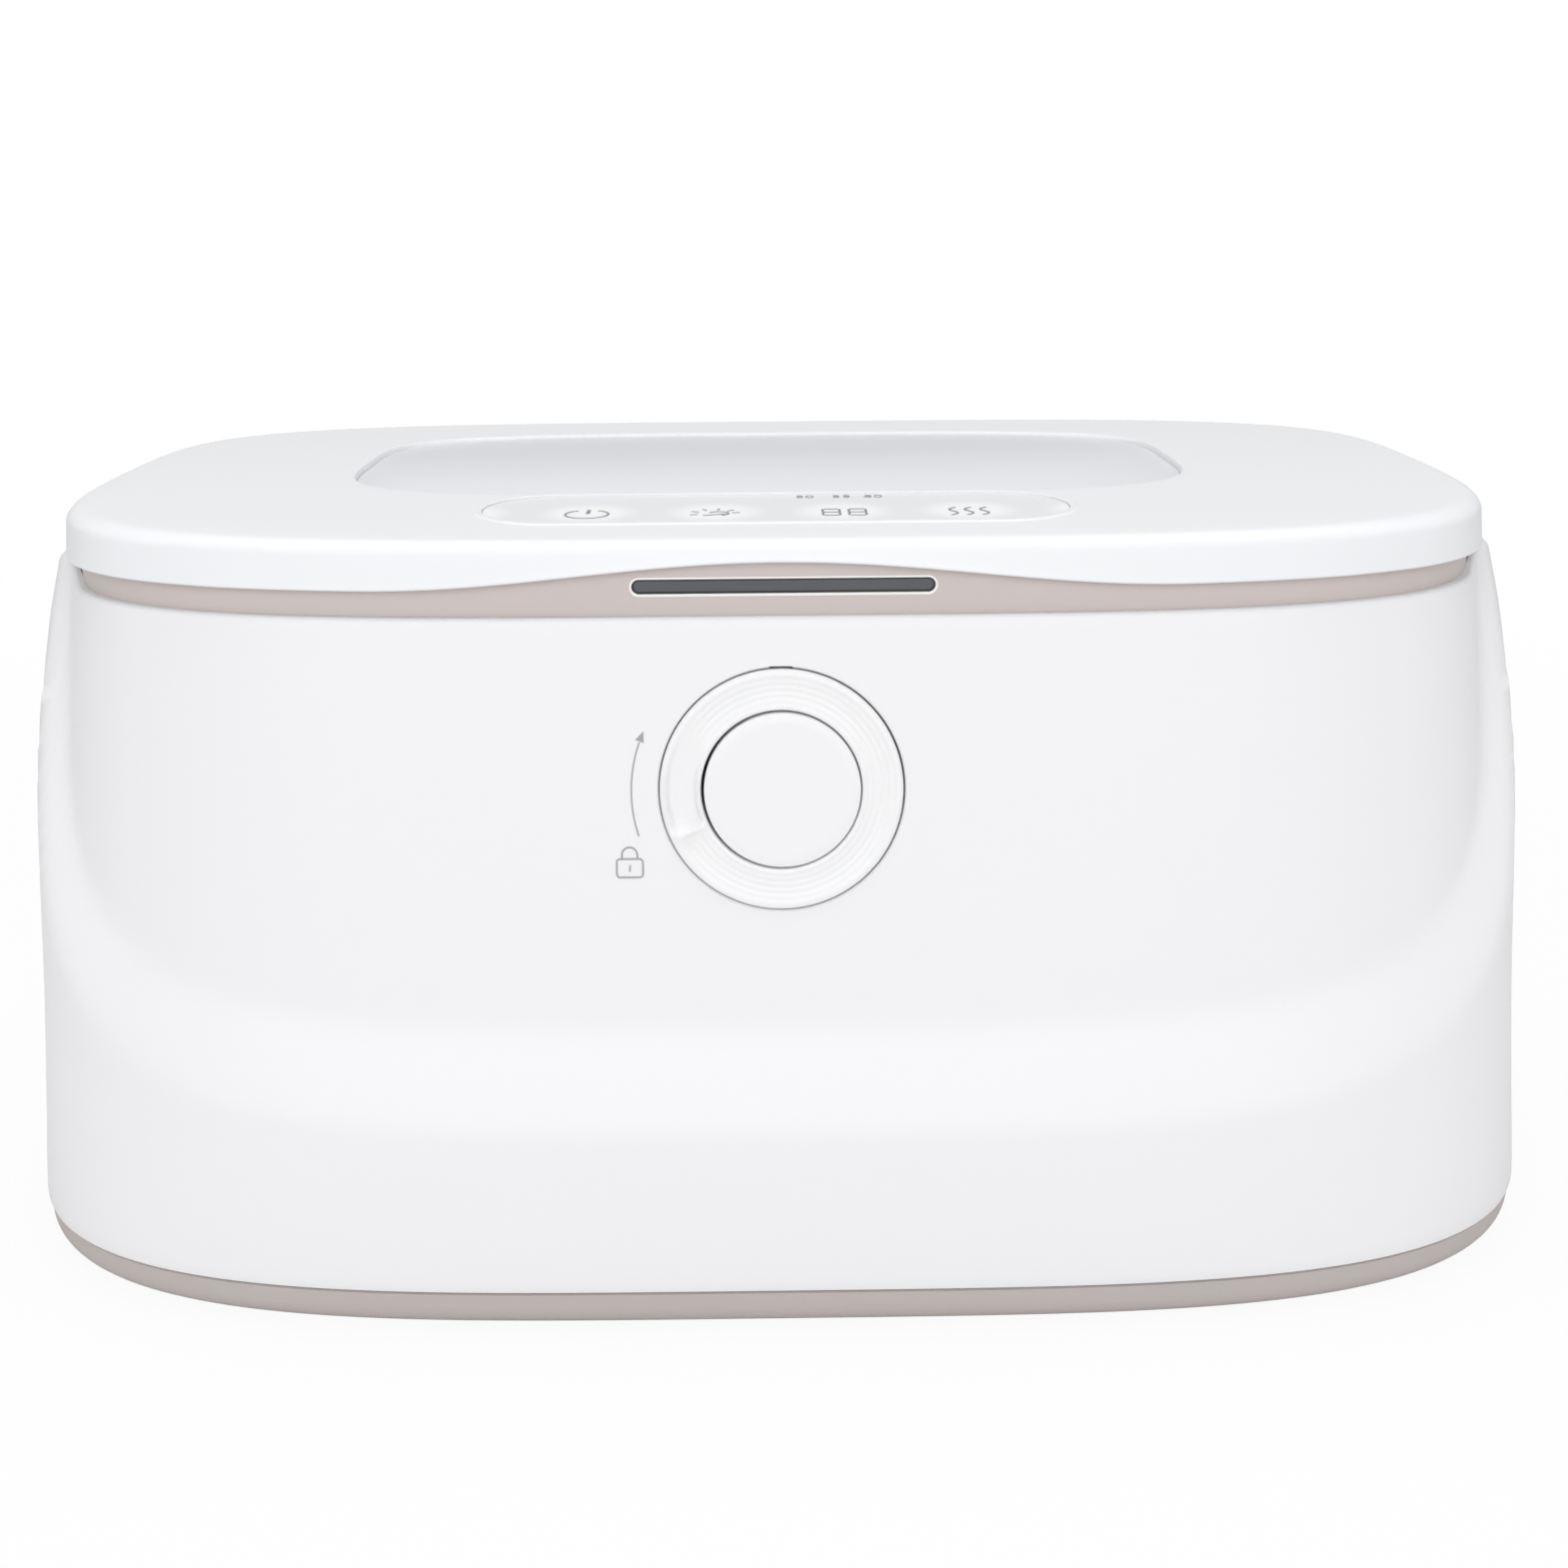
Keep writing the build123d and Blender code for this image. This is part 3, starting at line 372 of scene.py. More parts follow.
# rows of the outer body: height over the pan's underside, half length, front, rear, squareness
cradle = {
    "rows": [
        (0.0, 124.9, 82.4, 82.4, 3.85),
        (6.15, 124.9, 82.5, 82.5, 3.85),
        (22.0, 123.8, 81.5, 81.3, 3.75),
        (40.0, 122.5, 80.6, 80.0, 3.65),
        (60.0, 121.1, 82.0, 78.6, 3.50),
        (74.0, 120.2, 82.0, 77.4, 3.40),
        (85.0, 118.9, 80.5, 76.2, 3.40),
        (97.0, 116.3, 77.0, 74.4, 3.50),
        (105.2, 113.8, 72.5, 72.0, 3.60),
    ],
    "creaseTurn": 72.0,
    "creaseDepth": 59.1,
    "ridgeTurn": 76.0,
    "ridgeDepth": 74.2,
    "smile": 2.35,  # how square the crease and the ridge turn up the sides
    "crisp": 1.4,  # 1 is a straight ramp from crease to ridge, higher is softer at the crease
    "levels": 60,
    "insideLevels": (92, 80, 70, 60, 52, 46, 40, 34, 28, 18),
    "seamEdge": [(0.0, 0.5), (0.15, 0.12), (0.5, 0.0)],  # height over the seam and inset
    "rimRound": 0.7,
    "endLift": 3.2,
    "liftFade": 22,  # depth below the rim over which the lift fades
    "liftClear": 1.35,
    "liftTurns": (65.0, 73.5, 106.0, 116.0),
    "sharp": 40,
    "jack": (62.0, 20.0, 7.0),  # x, z and radius of the socket's hole
    "notchDepth": 4.9,
}
ear = {"y": (-3.2, 3.0), "foot": 95, "edge": 0.3}  # block that carries each hinge ear


def cradleAt(height, column):  # smooth cubic through the rows
    rows = cradle["rows"]
    k = max([i for i in range(len(rows) - 1) if rows[i][0] <= height] or [0])
    span = rows[k + 1][0] - rows[k][0]
    t = (height - rows[k][0]) / span

    def slope(i):
        a, b = rows[max(i - 1, 0)], rows[min(i + 1, len(rows) - 1)]
        return (b[column] - a[column]) / (b[0] - a[0])

    a, b = rows[k][column], rows[k + 1][column]
    blend = (1 + 2 * t) * (1 - t) ** 2 * a + t * t * (3 - 2 * t) * b
    return blend + span * (t * (1 - t) ** 2 * slope(k) + t * t * (t - 1) * slope(k + 1))


def cradleShare(turn, down):  # 0 on the recessed panel, 1 on the outer body
    degrees = abs((math.degrees(turn) + 180) % 360 - 180)
    p = cradle["smile"]

    def reach(turnLimit, depth):
        return ((degrees / turnLimit) ** p + (max(down, 0) / depth) ** p) ** (1 / p)

    inside = reach(cradle["creaseTurn"], cradle["creaseDepth"])
    outside = reach(cradle["ridgeTurn"], cradle["ridgeDepth"])
    if inside <= 1:
        return 0.0
    if outside >= 1:
        return 1.0
    share = (inside - 1) / (inside - 1 + 1 - outside)
    return share ** cradle["crisp"]


def housingPoint(turn, z):
    height, down = z - body["panZ"], body["rimZ"] - z
    halfX, front, rear, squareness = (cradleAt(height, c) for c in (1, 2, 3, 4))
    outer = oval(halfX, front if math.cos(turn) > 0 else rear, squareness, turn)
    spread = max(down, 0) * math.tan(lean)
    inner = oval(body["panelHalf"][0] + spread, body["panelHalf"][1] + spread, body["panelPower"], turn)
    share = cradleShare(turn, down)
    return [i + (o - i) * share for i, o in zip(inner, outer)]


def endLift(turn, z):  # the rim climbs to the lid at both ends
    degrees = abs((math.degrees(turn) + 180) % 360 - 180)
    a, b, c, d = cradle["liftTurns"]
    share = max(0.0, min((degrees - a) / (b - a), (d - degrees) / (d - c), 1.0))
    high = max(0.0, 1 - (body["rimZ"] - z) / cradle["liftFade"])
    return cradle["endLift"] * share * share * (3 - 2 * share) * high * high


def rimRing(halfX, halfY, squareness, z):
    def place(angle):
        turn = evenTurn(angle)
        lift = endLift(turn, z)
        grow = cradle["liftClear"] * min(lift, 1.0)
        return (*oval(halfX + grow, halfY + grow, squareness, turn), z + lift)

    return place


def housingRing(z, inset=0.0):
    def place(angle):
        turn = evenTurn(angle)
        x, y = housingPoint(turn, z)
        if inset:
            ax, ay = housingPoint(evenTurn(angle - 0.01), z)
            bx, by = housingPoint(evenTurn(angle + 0.01), z)
            length = math.hypot(bx - ax, by - ay)
            x, y = x - inset * (by - ay) / length, y + inset * (bx - ax) / length
        return x, y, z + endLift(turn, z)

    return place


def makeLockHole():
    radius, mouth = lock["hole"], lock["mouth"]
    profile = [(0, -8), (radius, -8), (radius, -mouth), (radius + mouth, 0.02), (radius + mouth, 4), (0, 4)]
    bm = latheProfile(bmesh.new(), profile, 128)
    bm.transform(lockFrame)
    return makeObject(bm, "lockHole")


def makeLockMark():
    bm = bmesh.new()
    half, high = lock["mark"]
    addBox(bm, (-half, half), (lock["hole"] - 2, lock["hole"] + high), (-6, 3))
    bm.transform(lockFrame)
    return makeObject(bm, "lockMark")


def makeHingeNotch():
    bm = bmesh.new()
    half, rim = hinge["half"] + hinge["ear"] + 1, body["rimZ"]
    addBox(bm, (-half, half), (body["panelHalf"][1] - body["wall"], 90), (rim - cradle["notchDepth"], rim + 5))
    return makeObject(bm, "hingeNotch")


def makeSocketHole():
    bm = bmesh.new()
    x, z, radius = cradle["jack"]
    addRod(bm, radius, 70, 95, Matrix.Translation((x, 0, z)) @ Matrix.Rotation(-math.pi / 2, 4, "X"), 96)
    return makeObject(bm, "socketHole")


def makeHousing():
    wall, rim, seam = body["wall"], body["rimZ"], body["seamZ"]
    r = cradle["rimRound"]
    places = [housingRing(seam, wall)] + [housingRing(seam + up, inset) for up, inset in cradle["seamEdge"]]
    low, high, count = seam + cradle["seamEdge"][-1][0], rim - r, cradle["levels"]
    places += [housingRing(low + (high - low) * i / count) for i in range(1, count + 1)]
    for step in range(1, 6):
        angle = math.radians(18 * step)
        places.append(housingRing(rim - r + r * math.sin(angle), r * (1 - math.cos(angle))))
    halfX, halfY = body["panelHalf"]
    opening = (halfX - wall, halfY - wall, body["panelPower"])
    places += [rimRing(*opening, rim), rimRing(*opening, rim - wall)]
    places += [housingRing(rim - wall - 0.1, wall)]
    places += [housingRing(z, wall) for z in cradle["insideLevels"]]
    bm = bmesh.new()
    stackRings(bm, body["steps"], places, close=True)
    sharp = cradle["sharp"]
    shell = makeObject(bm, "housing", sharp=sharp)
    cutAway(shell, makeLockHole(), makeLockMark(), makeHingeNotch(), makeSocketHole(), sharp=sharp)
    dress(shell, finish["shellWhite"], "base", "white", "outer_shell")
    ears = bmesh.new()
    for side in (-1, 1):
        near = side * (hinge["half"] + hinge["gap"])
        ends = sorted((near, near + side * hinge["ear"]))
        addRod(ears, hinge["radius"], *ends, hingeFrame, 64, hinge["edge"])
        blockY = [hinge["y"] + y for y in ear["y"]]
        addBox(ears, ends, blockY, (ear["foot"], hinge["z"]), ear["edge"])
    dress(makeObject(ears, "hingeEars"), finish["shellWhite"], "base", "white")
    print("housing made")


pan = {
    "half": (124.45, 82.05),
    "power": 3.85,
    "low": 0.7,
    "round": 4.2,
    "gap": 0.4,  # dark line between pan and housing
    "floor": 2.4,
    "lip": (3.4, 5.0, 3.2),  # outer and inner inset, and height over the pan
    "flat": 30,  # inset of the ring that closes the floor
    "screws": (92.0, 56.0, 2.8, 1.7),  # x, y, radius and depth
    "feet": (100.0, 38.0, 7.0, 0.9),
    "ventY": 44.0,
    "vents": 7,
    "vent": (8, 1.2, 9),  # spacing, half width and half length
}


def makePan():
    top, low = body["seamZ"] - pan["gap"], pan["low"]
    inner = low + pan["floor"]

    def ring(inset, z):
        return ovalRing(pan["half"][0] - inset, pan["half"][1] - inset, pan["power"], z)

    near, far, lipUp = pan["lip"]
    places = [ring(pan["flat"], inner), ring(far, inner), ring(far, top + lipUp)]
    places += [ring(near, top + lipUp), ring(near, top)]
    places += [ring(0.25, top), ring(0.04, top - 0.12), ring(0, top - 0.3)]
    r = pan["round"]
    for step in range(11):
        angle = math.radians(9 * step)
        places.append(ring(r * (1 - math.cos(angle)), low + r - r * math.sin(angle)))
    places += [ring(pan["flat"], low)]
    bm = bmesh.new()
    stackRings(bm, body["steps"], places, capStart=True, capEnd=True)
    tray = makeObject(bm, "baseTray")
    holes = bmesh.new()
    for sx in (-1, 1):
        for sy in (-1, 1):
            for (x, y, radius, depth), segments in ((pan["screws"], 40), (pan["feet"], 64)):
                addRod(holes, radius, -1, low + depth, Matrix.Translation((sx * x, sy * y, 0)), segments)
    pitch, halfWide, halfLong = pan["vent"]
    for k in range(pan["vents"]):
        middle = pitch * (k - (pan["vents"] - 1) / 2)
        for y in (-pan["ventY"], pan["ventY"]):
            addBox(holes, (middle - halfWide, middle + halfWide), (y - halfLong, y + halfLong), (-1, inner + 1))
    cutAway(tray, makeObject(holes, "trayHoles"))
    dress(tray, finish["panTaupe"], "base", "pan_grey", "base_pan")
    print("pan made")


collar = {
    "half": (110.26, 67.7),
    "wall": 2.0,
    "topZ": 115.0,
    "edge": 0.3,
    "rear": (130, 50, 108.9),  # half length, front and floor of the space for the hinge
    "deck": 1.6,
    "spigot": (1.5, 3.1, 3.4),  # outer and inner inset, and depth below the rim
    "opening": (96.0, 54.8, 30.0, 4.2),  # half length, half depth, corner, middle
    "striker": (6.0, -63.2, -57.8),  # half length, front and rear of the striker's slot
    "posts": (17.0, 2, -63.1, -61.1),  # x, half width, front and rear of the light board's posts
}
lightSlot = {
    "steps": 66,
    "x": 0.8,
    "half": 21.4,
    "z": (109.4, 111.7),
    "grow": 0.15,
    # rings of each piece: growth of the slot's outline, and depth behind the collar's face
    "lens": [(-0.3, 2.6), (-0.3, 0.55), (-0.42, 0.4)],
    # the gap rings make a dark strip painted as the shade in the lens's recess
    "gap": [(-0.05, 0.75), (-0.05, 0.45), (-0.36, 0.45), (-0.36, 0.75)],
    # pale strip at the slot's mouth, painted as the highlight on its edge
    "rimHighlight": [(-0.1, 0.52), (-0.1, 0.1), (0.2, -0.04), (0.2, 0.22)],
}


def slotRing(grow, y):
    low, high = lightSlot["z"]
    half = (high - low) / 2
    flat = roundedRing(lightSlot["half"] + grow, half + grow, half + grow, 0)

    def place(angle):
        u, v, _ = flat(angle)
        return lightSlot["x"] + u, y, (low + high) / 2 + v

    return place


def makeSlotPiece(name, rings, material, slotName, *stands, **caps):
    bm = bmesh.new()
    places = [slotRing(grow, -collar["half"][1] + depth) for grow, depth in rings]
    stackRings(bm, lightSlot["steps"], places, **caps)
    dress(makeObject(bm, name), material, "base", slotName, *stands)


def makeCollar():
    (halfX, halfY), p, rim = collar["half"], body["panelPower"], body["rimZ"]
    wall, top, edge = collar["wall"], collar["topZ"], collar["edge"]

    def ring(inset, z):
        return ovalRing(halfX - inset, halfY - inset, p, z)

    deck = rim + collar["deck"]
    halfLong, halfDeep, corner, middle = collar["opening"]
    near, far, down = collar["spigot"]
    places = [roundedRing(halfLong, halfDeep, corner, z, (0, middle)) for z in (rim, deck - edge)]
    places += [roundedRing(halfLong + edge, halfDeep + edge, corner + edge, deck, (0, middle))]
    places += [ring(wall, deck), ring(wall, top - edge), ring(wall - edge, top), ring(edge, top)]
    places += [ring(0, top - edge), ring(0, rim + 0.02), ring(near, rim + 0.02)]
    places += [ring(near, rim - down), ring(far, rim - down), ring(far, rim)]
    bm = bmesh.new()
    stackRings(bm, body["steps"], places, close=True)
    band = makeObject(bm, "collarBand")
    slot = bmesh.new()
    grow = lightSlot["grow"]
    places = [slotRing(grow, -80), slotRing(grow, -halfY - 0.05), slotRing(0, -halfY + 0.2), slotRing(0, -50)]
    stackRings(slot, lightSlot["steps"], places, capStart=True, capEnd=True)
    spaces = bmesh.new()
    halfRear, rearY, rearZ = collar["rear"]
    addBox(spaces, (-halfRear, halfRear), (rearY, 80), (rearZ, 130))
    halfStriker, *strikerY = collar["striker"]
    addBox(spaces, (-halfStriker, halfStriker), strikerY, (rim - 5, deck + 1))
    cutAway(band, makeObject(slot, "slotCutter"), makeObject(spaces, "rearCutter"))
    dress(band, finish["taupe"], "base", "taupe", "collar")
    posts = bmesh.new()
    x, half, *postY = collar["posts"]
    for side in (-1, 1):
        addBox(posts, (side * x - half, side * x + half), postY, (deck - 0.5, deck + 3.4), 0.2)
    dress(makeObject(posts, "boardPosts"), finish["taupe"], "base", "taupe")
    ends = {"capStart": True, "capEnd": True}
    makeSlotPiece("slotLens", lightSlot["lens"], finish["smoked"], "smoked", "light_window", **ends)
    # dark strip round the lens: painted shade in the recess
    makeSlotPiece("slotPaintedShade", lightSlot["gap"], finish["dark"], "smoked", close=True)
    # pale strip round the slot: painted highlight on its edge
    makeSlotPiece("slotRimHighlight", lightSlot["rimHighlight"], finish["rimHighlight"], "taupe", close=True)
    print("collar made")


window = {
    "half": (69.4, 37.6),
    "power": 4.0,
    "middle": (-0.9, 6.6),
    "sunk": 0.85,
    "flange": (2.4, 114.1, 115.5),  # how far it reaches below the lid's top, its underside and its top
    "fit": 0.12,
    "squash": (0.64, 0.62),  # matches directions from the lid's middle to the window's
}
touch = {
    "steps": 130,
    "half": (44.1, 11.5),
    "y": -43.9,
    "sunk": 0.1,
    "bead": (1.3, 0.2),  # width and height of the low bead round the strip
    "recess": (-1.8, -0.3, 1.2),
    # growth of the outline and height under the crowned top
    "film": [(-0.1, -1.4), (-0.1, -0.18), (-0.2, -0.1), (-1.5, -0.1), (-6.0, -0.1)],
}


def crownZ(y):
    return lid["topZ"] - lid["sag"] * y * y


def archLift(x, y):
    if y > 0 or abs(x) >= lid["archHalf"]:
        return 0.0
    return lid["archRise"] * (1 + math.cos(math.pi * x / lid["archHalf"])) / 2


def windowPoint(angle, grow=0.0):  # the window's edge in a direction seen from its middle
    half = [h + grow for h in window["half"]]
    x, y = oval(*half, window["power"], evenTurn(angle, window["half"], window["power"]))
    return window["middle"][0] + x, window["middle"][1] + y


def windowTurn(angle):  # directions from the lid's middle matched to the window's middle
    x, y = oval(*lid["half"], lid["power"], evenTurn(angle))
    squashX, squashY = window["squash"]
    return math.atan2(x * squashX, -(y - window["middle"][1]) * squashY)


def lidRing(inset, z, follow=0.0):
    halfX, halfY = lid["half"]

    def place(angle):
        x, y = oval(halfX - inset, halfY - inset, lid["power"], evenTurn(angle))
        drop = follow * (lid["topZ"] - crownZ(y))
        return x, y, z - drop

    return place


def lidEdgeRing(inset, z):
    base = lidRing(inset, z)

    def place(angle):
        x, y, low = base(angle)
        return x, y, low + archLift(x, y)

    return place


def stripRing(grow, rise):  # round the touch strip, at a height over the crowned top
    halfX, halfY = touch["half"]
    flat = roundedRing(halfX + grow, halfY + grow, halfY + grow, 0, (0, touch["y"]))

    def place(angle):
        x, y, _ = flat(angle)
        return x, y, crownZ(y) + rise

    return place


def topRing(share, drop=0.0, grow=0.0):
    halfX, halfY = lid["half"]

    def place(angle):
        x, y = oval(halfX - lid["topInset"], halfY - lid["topInset"], lid["power"], evenTurn(angle))
        wx, wy = windowPoint(windowTurn(angle), grow)
        x, y = x + (wx - x) * share, y + (wy - y) * share
        return x, y, crownZ(y) - drop

    return place


def sideRow(angle, share):  # the side of the lid, a share of the way up from its lower edge
    x, y, _ = lidRing(lid["sideLean"][0] + 0.5 * share, lid["edgeZ"])(angle)
    low = lid["edgeZ"] + archLift(x, y)
    return x, y, low + (lid["sideZ"] - low) * share


def makeLid():
    edge, top, roof, skin = lid["edgeZ"], lid["topZ"], lid["roofZ"], lid["skin"]
    lower, upper = lid["sideLean"]
    places = [topRing(1.0, drop=top - roof), lidRing(skin + 1.2, roof), lidRing(skin, roof - 1.0)]
    places += [lidEdgeRing(skin, edge + 0.3), lidEdgeRing(skin - 0.3, edge), lidEdgeRing(0.75, edge)]
    places += [lidEdgeRing(0.6, edge + 0.05), lidEdgeRing(lower, edge + 0.3)]
    places += [lambda angle, share=share: sideRow(angle, share) for share in (0.18, 0.4)]
    for step in range(9):
        angle = math.radians(90 * step / 8)
        inset = upper + lid["round"] * (1 - math.cos(angle))
        z = lid["sideZ"] + (top - lid["sideZ"]) * math.sin(angle)
        places.append(lidRing(inset, z, math.sin(angle)))
    places += [topRing(share) for share in (0.12, 0.25, 0.4, 0.55, 0.7, 0.85, 0.96)]
    places += [topRing(1.0, grow=0.45), topRing(1.0, 0.06, 0.22), topRing(1.0, 0.3, 0.06)]
    bm = bmesh.new()
    stackRings(bm, body["steps"], places, close=True)
    cover = makeObject(bm, "lidCover", sharp=lid["sharp"])
    recess = bmesh.new()
    places = [stripRing(0, rise) for rise in touch["recess"]]
    stackRings(recess, touch["steps"], places, capStart=True, capEnd=True)
    cutAway(cover, makeObject(recess, "stripCutter"), sharp=lid["sharp"])
    dress(cover, finish["lidWhite"], "lid", "lid_white", "lid_cover")
    print("lid made")


def makeStripBead():
    width, height = touch["bead"]
    near, count = 0.02, 8
    places = [stripRing(near, -0.5), stripRing(near, height * 0.5)]
    for step in range(1, count):
        rise = height * math.sin(math.pi * (0.2 + 0.8 * step / count))
        places.append(stripRing(near + width * step / count, rise))
    places += [stripRing(near + width, -0.04), stripRing(near + width, -0.5)]
    bm = bmesh.new()
    stackRings(bm, touch["steps"], places, close=True)
    dress(makeObject(bm, "stripBead"), finish["lidWhite"], "lid", "lid_white")


def makeLug():
    bm = bmesh.new()
    half, edge = hinge["half"], hinge["edge"]
    addRod(bm, hinge["radius"], -half, half, hingeFrame, 64, edge)
    y = (lid["half"][1] - 1.5, hinge["y"] + 2.6)
    addBox(bm, (-half, half), y, (hinge["z"], lid["edgeZ"] + 2.4), edge)
    dress(makeObject(bm, "lidLug"), finish["lidWhite"], "lid", "lid_white")


def windowRing(grow, z):
    return lambda angle: (*windowPoint(windowTurn(angle), grow), z)


def makeWindow():
    top, fit = lid["topZ"] - window["sunk"], window["fit"]
    reach, under, over = window["flange"]
    places = [windowRing(reach, under), windowRing(reach, over), windowRing(-fit, over)]
    places += [windowRing(-fit, top - 0.35), windowRing(-fit - 0.1, top - 0.1), windowRing(-0.5, top)]
    bm = bmesh.new()
    stackRings(bm, body["steps"], places, capStart=True, capEnd=True)
    dress(makeObject(bm, "windowPlate"), finish["windowWhite"], "lid", "window", "lid_window")


def makeTouchPanel():
    bm = bmesh.new()
    places = [stripRing(grow, rise) for grow, rise in touch["film"]]
    stackRings(bm, touch["steps"], places, capStart=True, capEnd=True)
    dress(makeObject(bm, "touchStrip"), finish["panelWhite"], "lid", "panel", "touch_panel")


ringFace = {
    "steps": 480,
    "rows": 50,
    "dish": 0.3,
    "fall": 0.1,  # the face is this much lower at the bore than at the rim
    "groove": 0.09,
    "grooves": 5,
    "edges": (0.9, 0.5),  # where the face starts at the rim and ends at the bore
    # the finger ledge, in degrees round the face: start and floor of its scoop, crest and end
    "start": 137.0,
    "deep": 197.0,
    "crest": 204.5,
    "end": 222.0,
    "scoop": 1.0,
    "ledge": 0.8,
}


def ringLift(angle):  # height over the grooved face
    start, deep, crest, end = (ringFace[k] for k in ("start", "deep", "crest", "end"))
    if start < angle <= deep:
        share = (angle - start) / (deep - start)
        return -ringFace["scoop"] * share * share * (3 - 2 * share)
    if deep < angle <= crest:
        share = (angle - deep) / (crest - deep)
        return -ringFace["scoop"] + (ringFace["scoop"] + ringFace["ledge"]) * share ** 1.4
    if crest < angle < end:
        return ringFace["ledge"] * ((end - angle) / (end - crest)) ** 5
    return 0.0


def makeLockRing():
    outer, bore, back = lock["ring"], lock["bore"], -lock["back"]
    start, crest = ringFace["start"], ringFace["crest"]
    rim, inner = ringFace["edges"]
    width, rows = outer - bore - rim - inner, ringFace["rows"]

    def groove(r):
        share = (outer - rim - r) / width
        return ringFace["groove"] * (0.5 - 0.5 * math.cos(2 * math.pi * ringFace["grooves"] * share))

    face = []
    for i in range(rows + 1):
        r = outer - rim - width * i / rows
        dish = ringFace["dish"] * math.sin(math.pi * i / rows) + ringFace["fall"] * i / rows
        face.append((r, 0.5 - dish - groove(r)))
    profile = [(outer, back), (outer, 0.0), (outer - 0.12, 0.3), (outer - 0.4, 0.46)] + face
    profile += [(bore + 0.22, 0.32), (bore + 0.06, 0.16), (bore, -0.05), (bore, back), (outer, back)]
    bm = latheProfile(bmesh.new(), profile, ringFace["steps"])
    for v in bm.verts:
        r = math.hypot(v.co.x, v.co.y)
        if v.co.z < 0.0 or r > outer - 0.5 or r < bore + 0.3:
            continue
        angle = math.degrees(math.atan2(v.co.y, v.co.x)) % 360
        side = min((outer - 0.5 - r) / 1.0, (r - bore - 0.3) / 0.8, 1.0)
        side = side * side * (3 - 2 * side)
        smooth = max(0.0, min((angle - start) / 12, (crest - angle) / 2, 1.0))
        v.co.z += ringLift(angle) * side + groove(r) * smooth
    bm.transform(lockFrame @ Matrix.Translation((lock["ringShift"], 0, 0)))
    dress(makeObject(bm, "lockRing", sharp=50), finish["ringWhite"], "ring", "white", "lock_ring")


def makeButton():
    r, back, rows = lock["button"], -lock["buttonBack"], 8
    profile = [(0, back), (r, back), (r, -0.1), (r - 0.08, 0.1), (r - 0.3, 0.2)]
    for i in range(1, rows):
        share = i / rows
        profile.append(((r - 0.3) * (1 - share), 0.22 - 0.12 * math.sin(math.pi / 2 * share)))
    profile += [(0, 0.1)]
    bm = latheProfile(bmesh.new(), profile, 160)
    bm.transform(lockFrame @ Matrix.Translation((*lock["buttonShift"], 0)))
    dress(makeObject(bm, "pushButton"), finish["buttonWhite"], "button", "button_white", "release_button")


printThick = 0.06


def raiseFaces(bm, faces, place):
    lifted = bmesh.ops.extrude_face_region(bm, geom=faces)["geom"]
    up = Vector(place(0, 0, printThick)) - Vector(place(0, 0, 0))
    bmesh.ops.translate(bm, verts=[g for g in lifted if isinstance(g, bmesh.types.BMVert)], vec=up)


def stroke(bm, points, width, place, closed=False):  # a ribbon along a line
    pts = [Vector((*p, 0)) for p in points]
    count = len(pts)
    sides = []
    for i, p in enumerate(pts):
        if closed:
            ahead, behind = pts[(i + 1) % count], pts[i - 1]
        else:
            ahead, behind = pts[min(i + 1, count - 1)], pts[max(i - 1, 0)]
        along = (ahead - behind).normalized()
        across = Vector((-along.y, along.x, 0)) * width / 2
        sides.append([bm.verts.new(place(*(p + sign * across).xy, 0)) for sign in (-1, 1)])
    faces = []
    pairs = list(zip(sides, sides[1:])) + ([(sides[-1], sides[0])] if closed else [])
    for a, b in pairs:
        faces.append(bm.faces.new((a[0], b[0], b[1], a[1])))
    raiseFaces(bm, faces, place)


def patch(bm, points, place):  # a filled outline
    verts = [bm.verts.new(place(x, y, 0)) for x, y in points]
    raiseFaces(bm, [bm.faces.new(verts)], place)


def arcPoints(cx, cy, radius, low, high, steps=24):
    points = []
    for i in range(steps + 1):
        angle = math.radians(low + (high - low) * i / steps)
        points.append((cx + radius * math.cos(angle), cy + radius * math.sin(angle)))
    return points


def onPanel(u, v, up):  # u to the right and v up from the lock's middle, lying on the housing
    point = lockFrame @ Vector((u, v, 0))
    down = body["rimZ"] - point.z
    halfX, halfY = (h + down * math.tan(lean) for h in body["panelHalf"])
    p = body["panelPower"]
    y = -halfY * (1 - (abs(point.x) / halfX) ** p) ** (1 / p)
    return point.x, y - up - 0.01, point.z + up * math.tan(lean)


def onStrip(u, v, up):
    return u, v, crownZ(v) - touch["sunk"] + 0.01 + up


padlock = {
    "x": -21.85,
    "y": -11.15,
    "width": 3.75,
    "height": 2.7,
    "corner": 0.5,
    "line": 0.25,
    "shackle": (1.1, 0.6),  # radius, and its middle over the body
    "keyhole": 0.22,
}
arrow = {
    "radius": 21.4,
    "y": -0.2,
    "turns": (197.0, 160.0),
    "tip": 158.2,
    "line": 0.2,
    "head": (1.0, 0.55, 0.62),  # length ahead of and behind its middle, half width
}


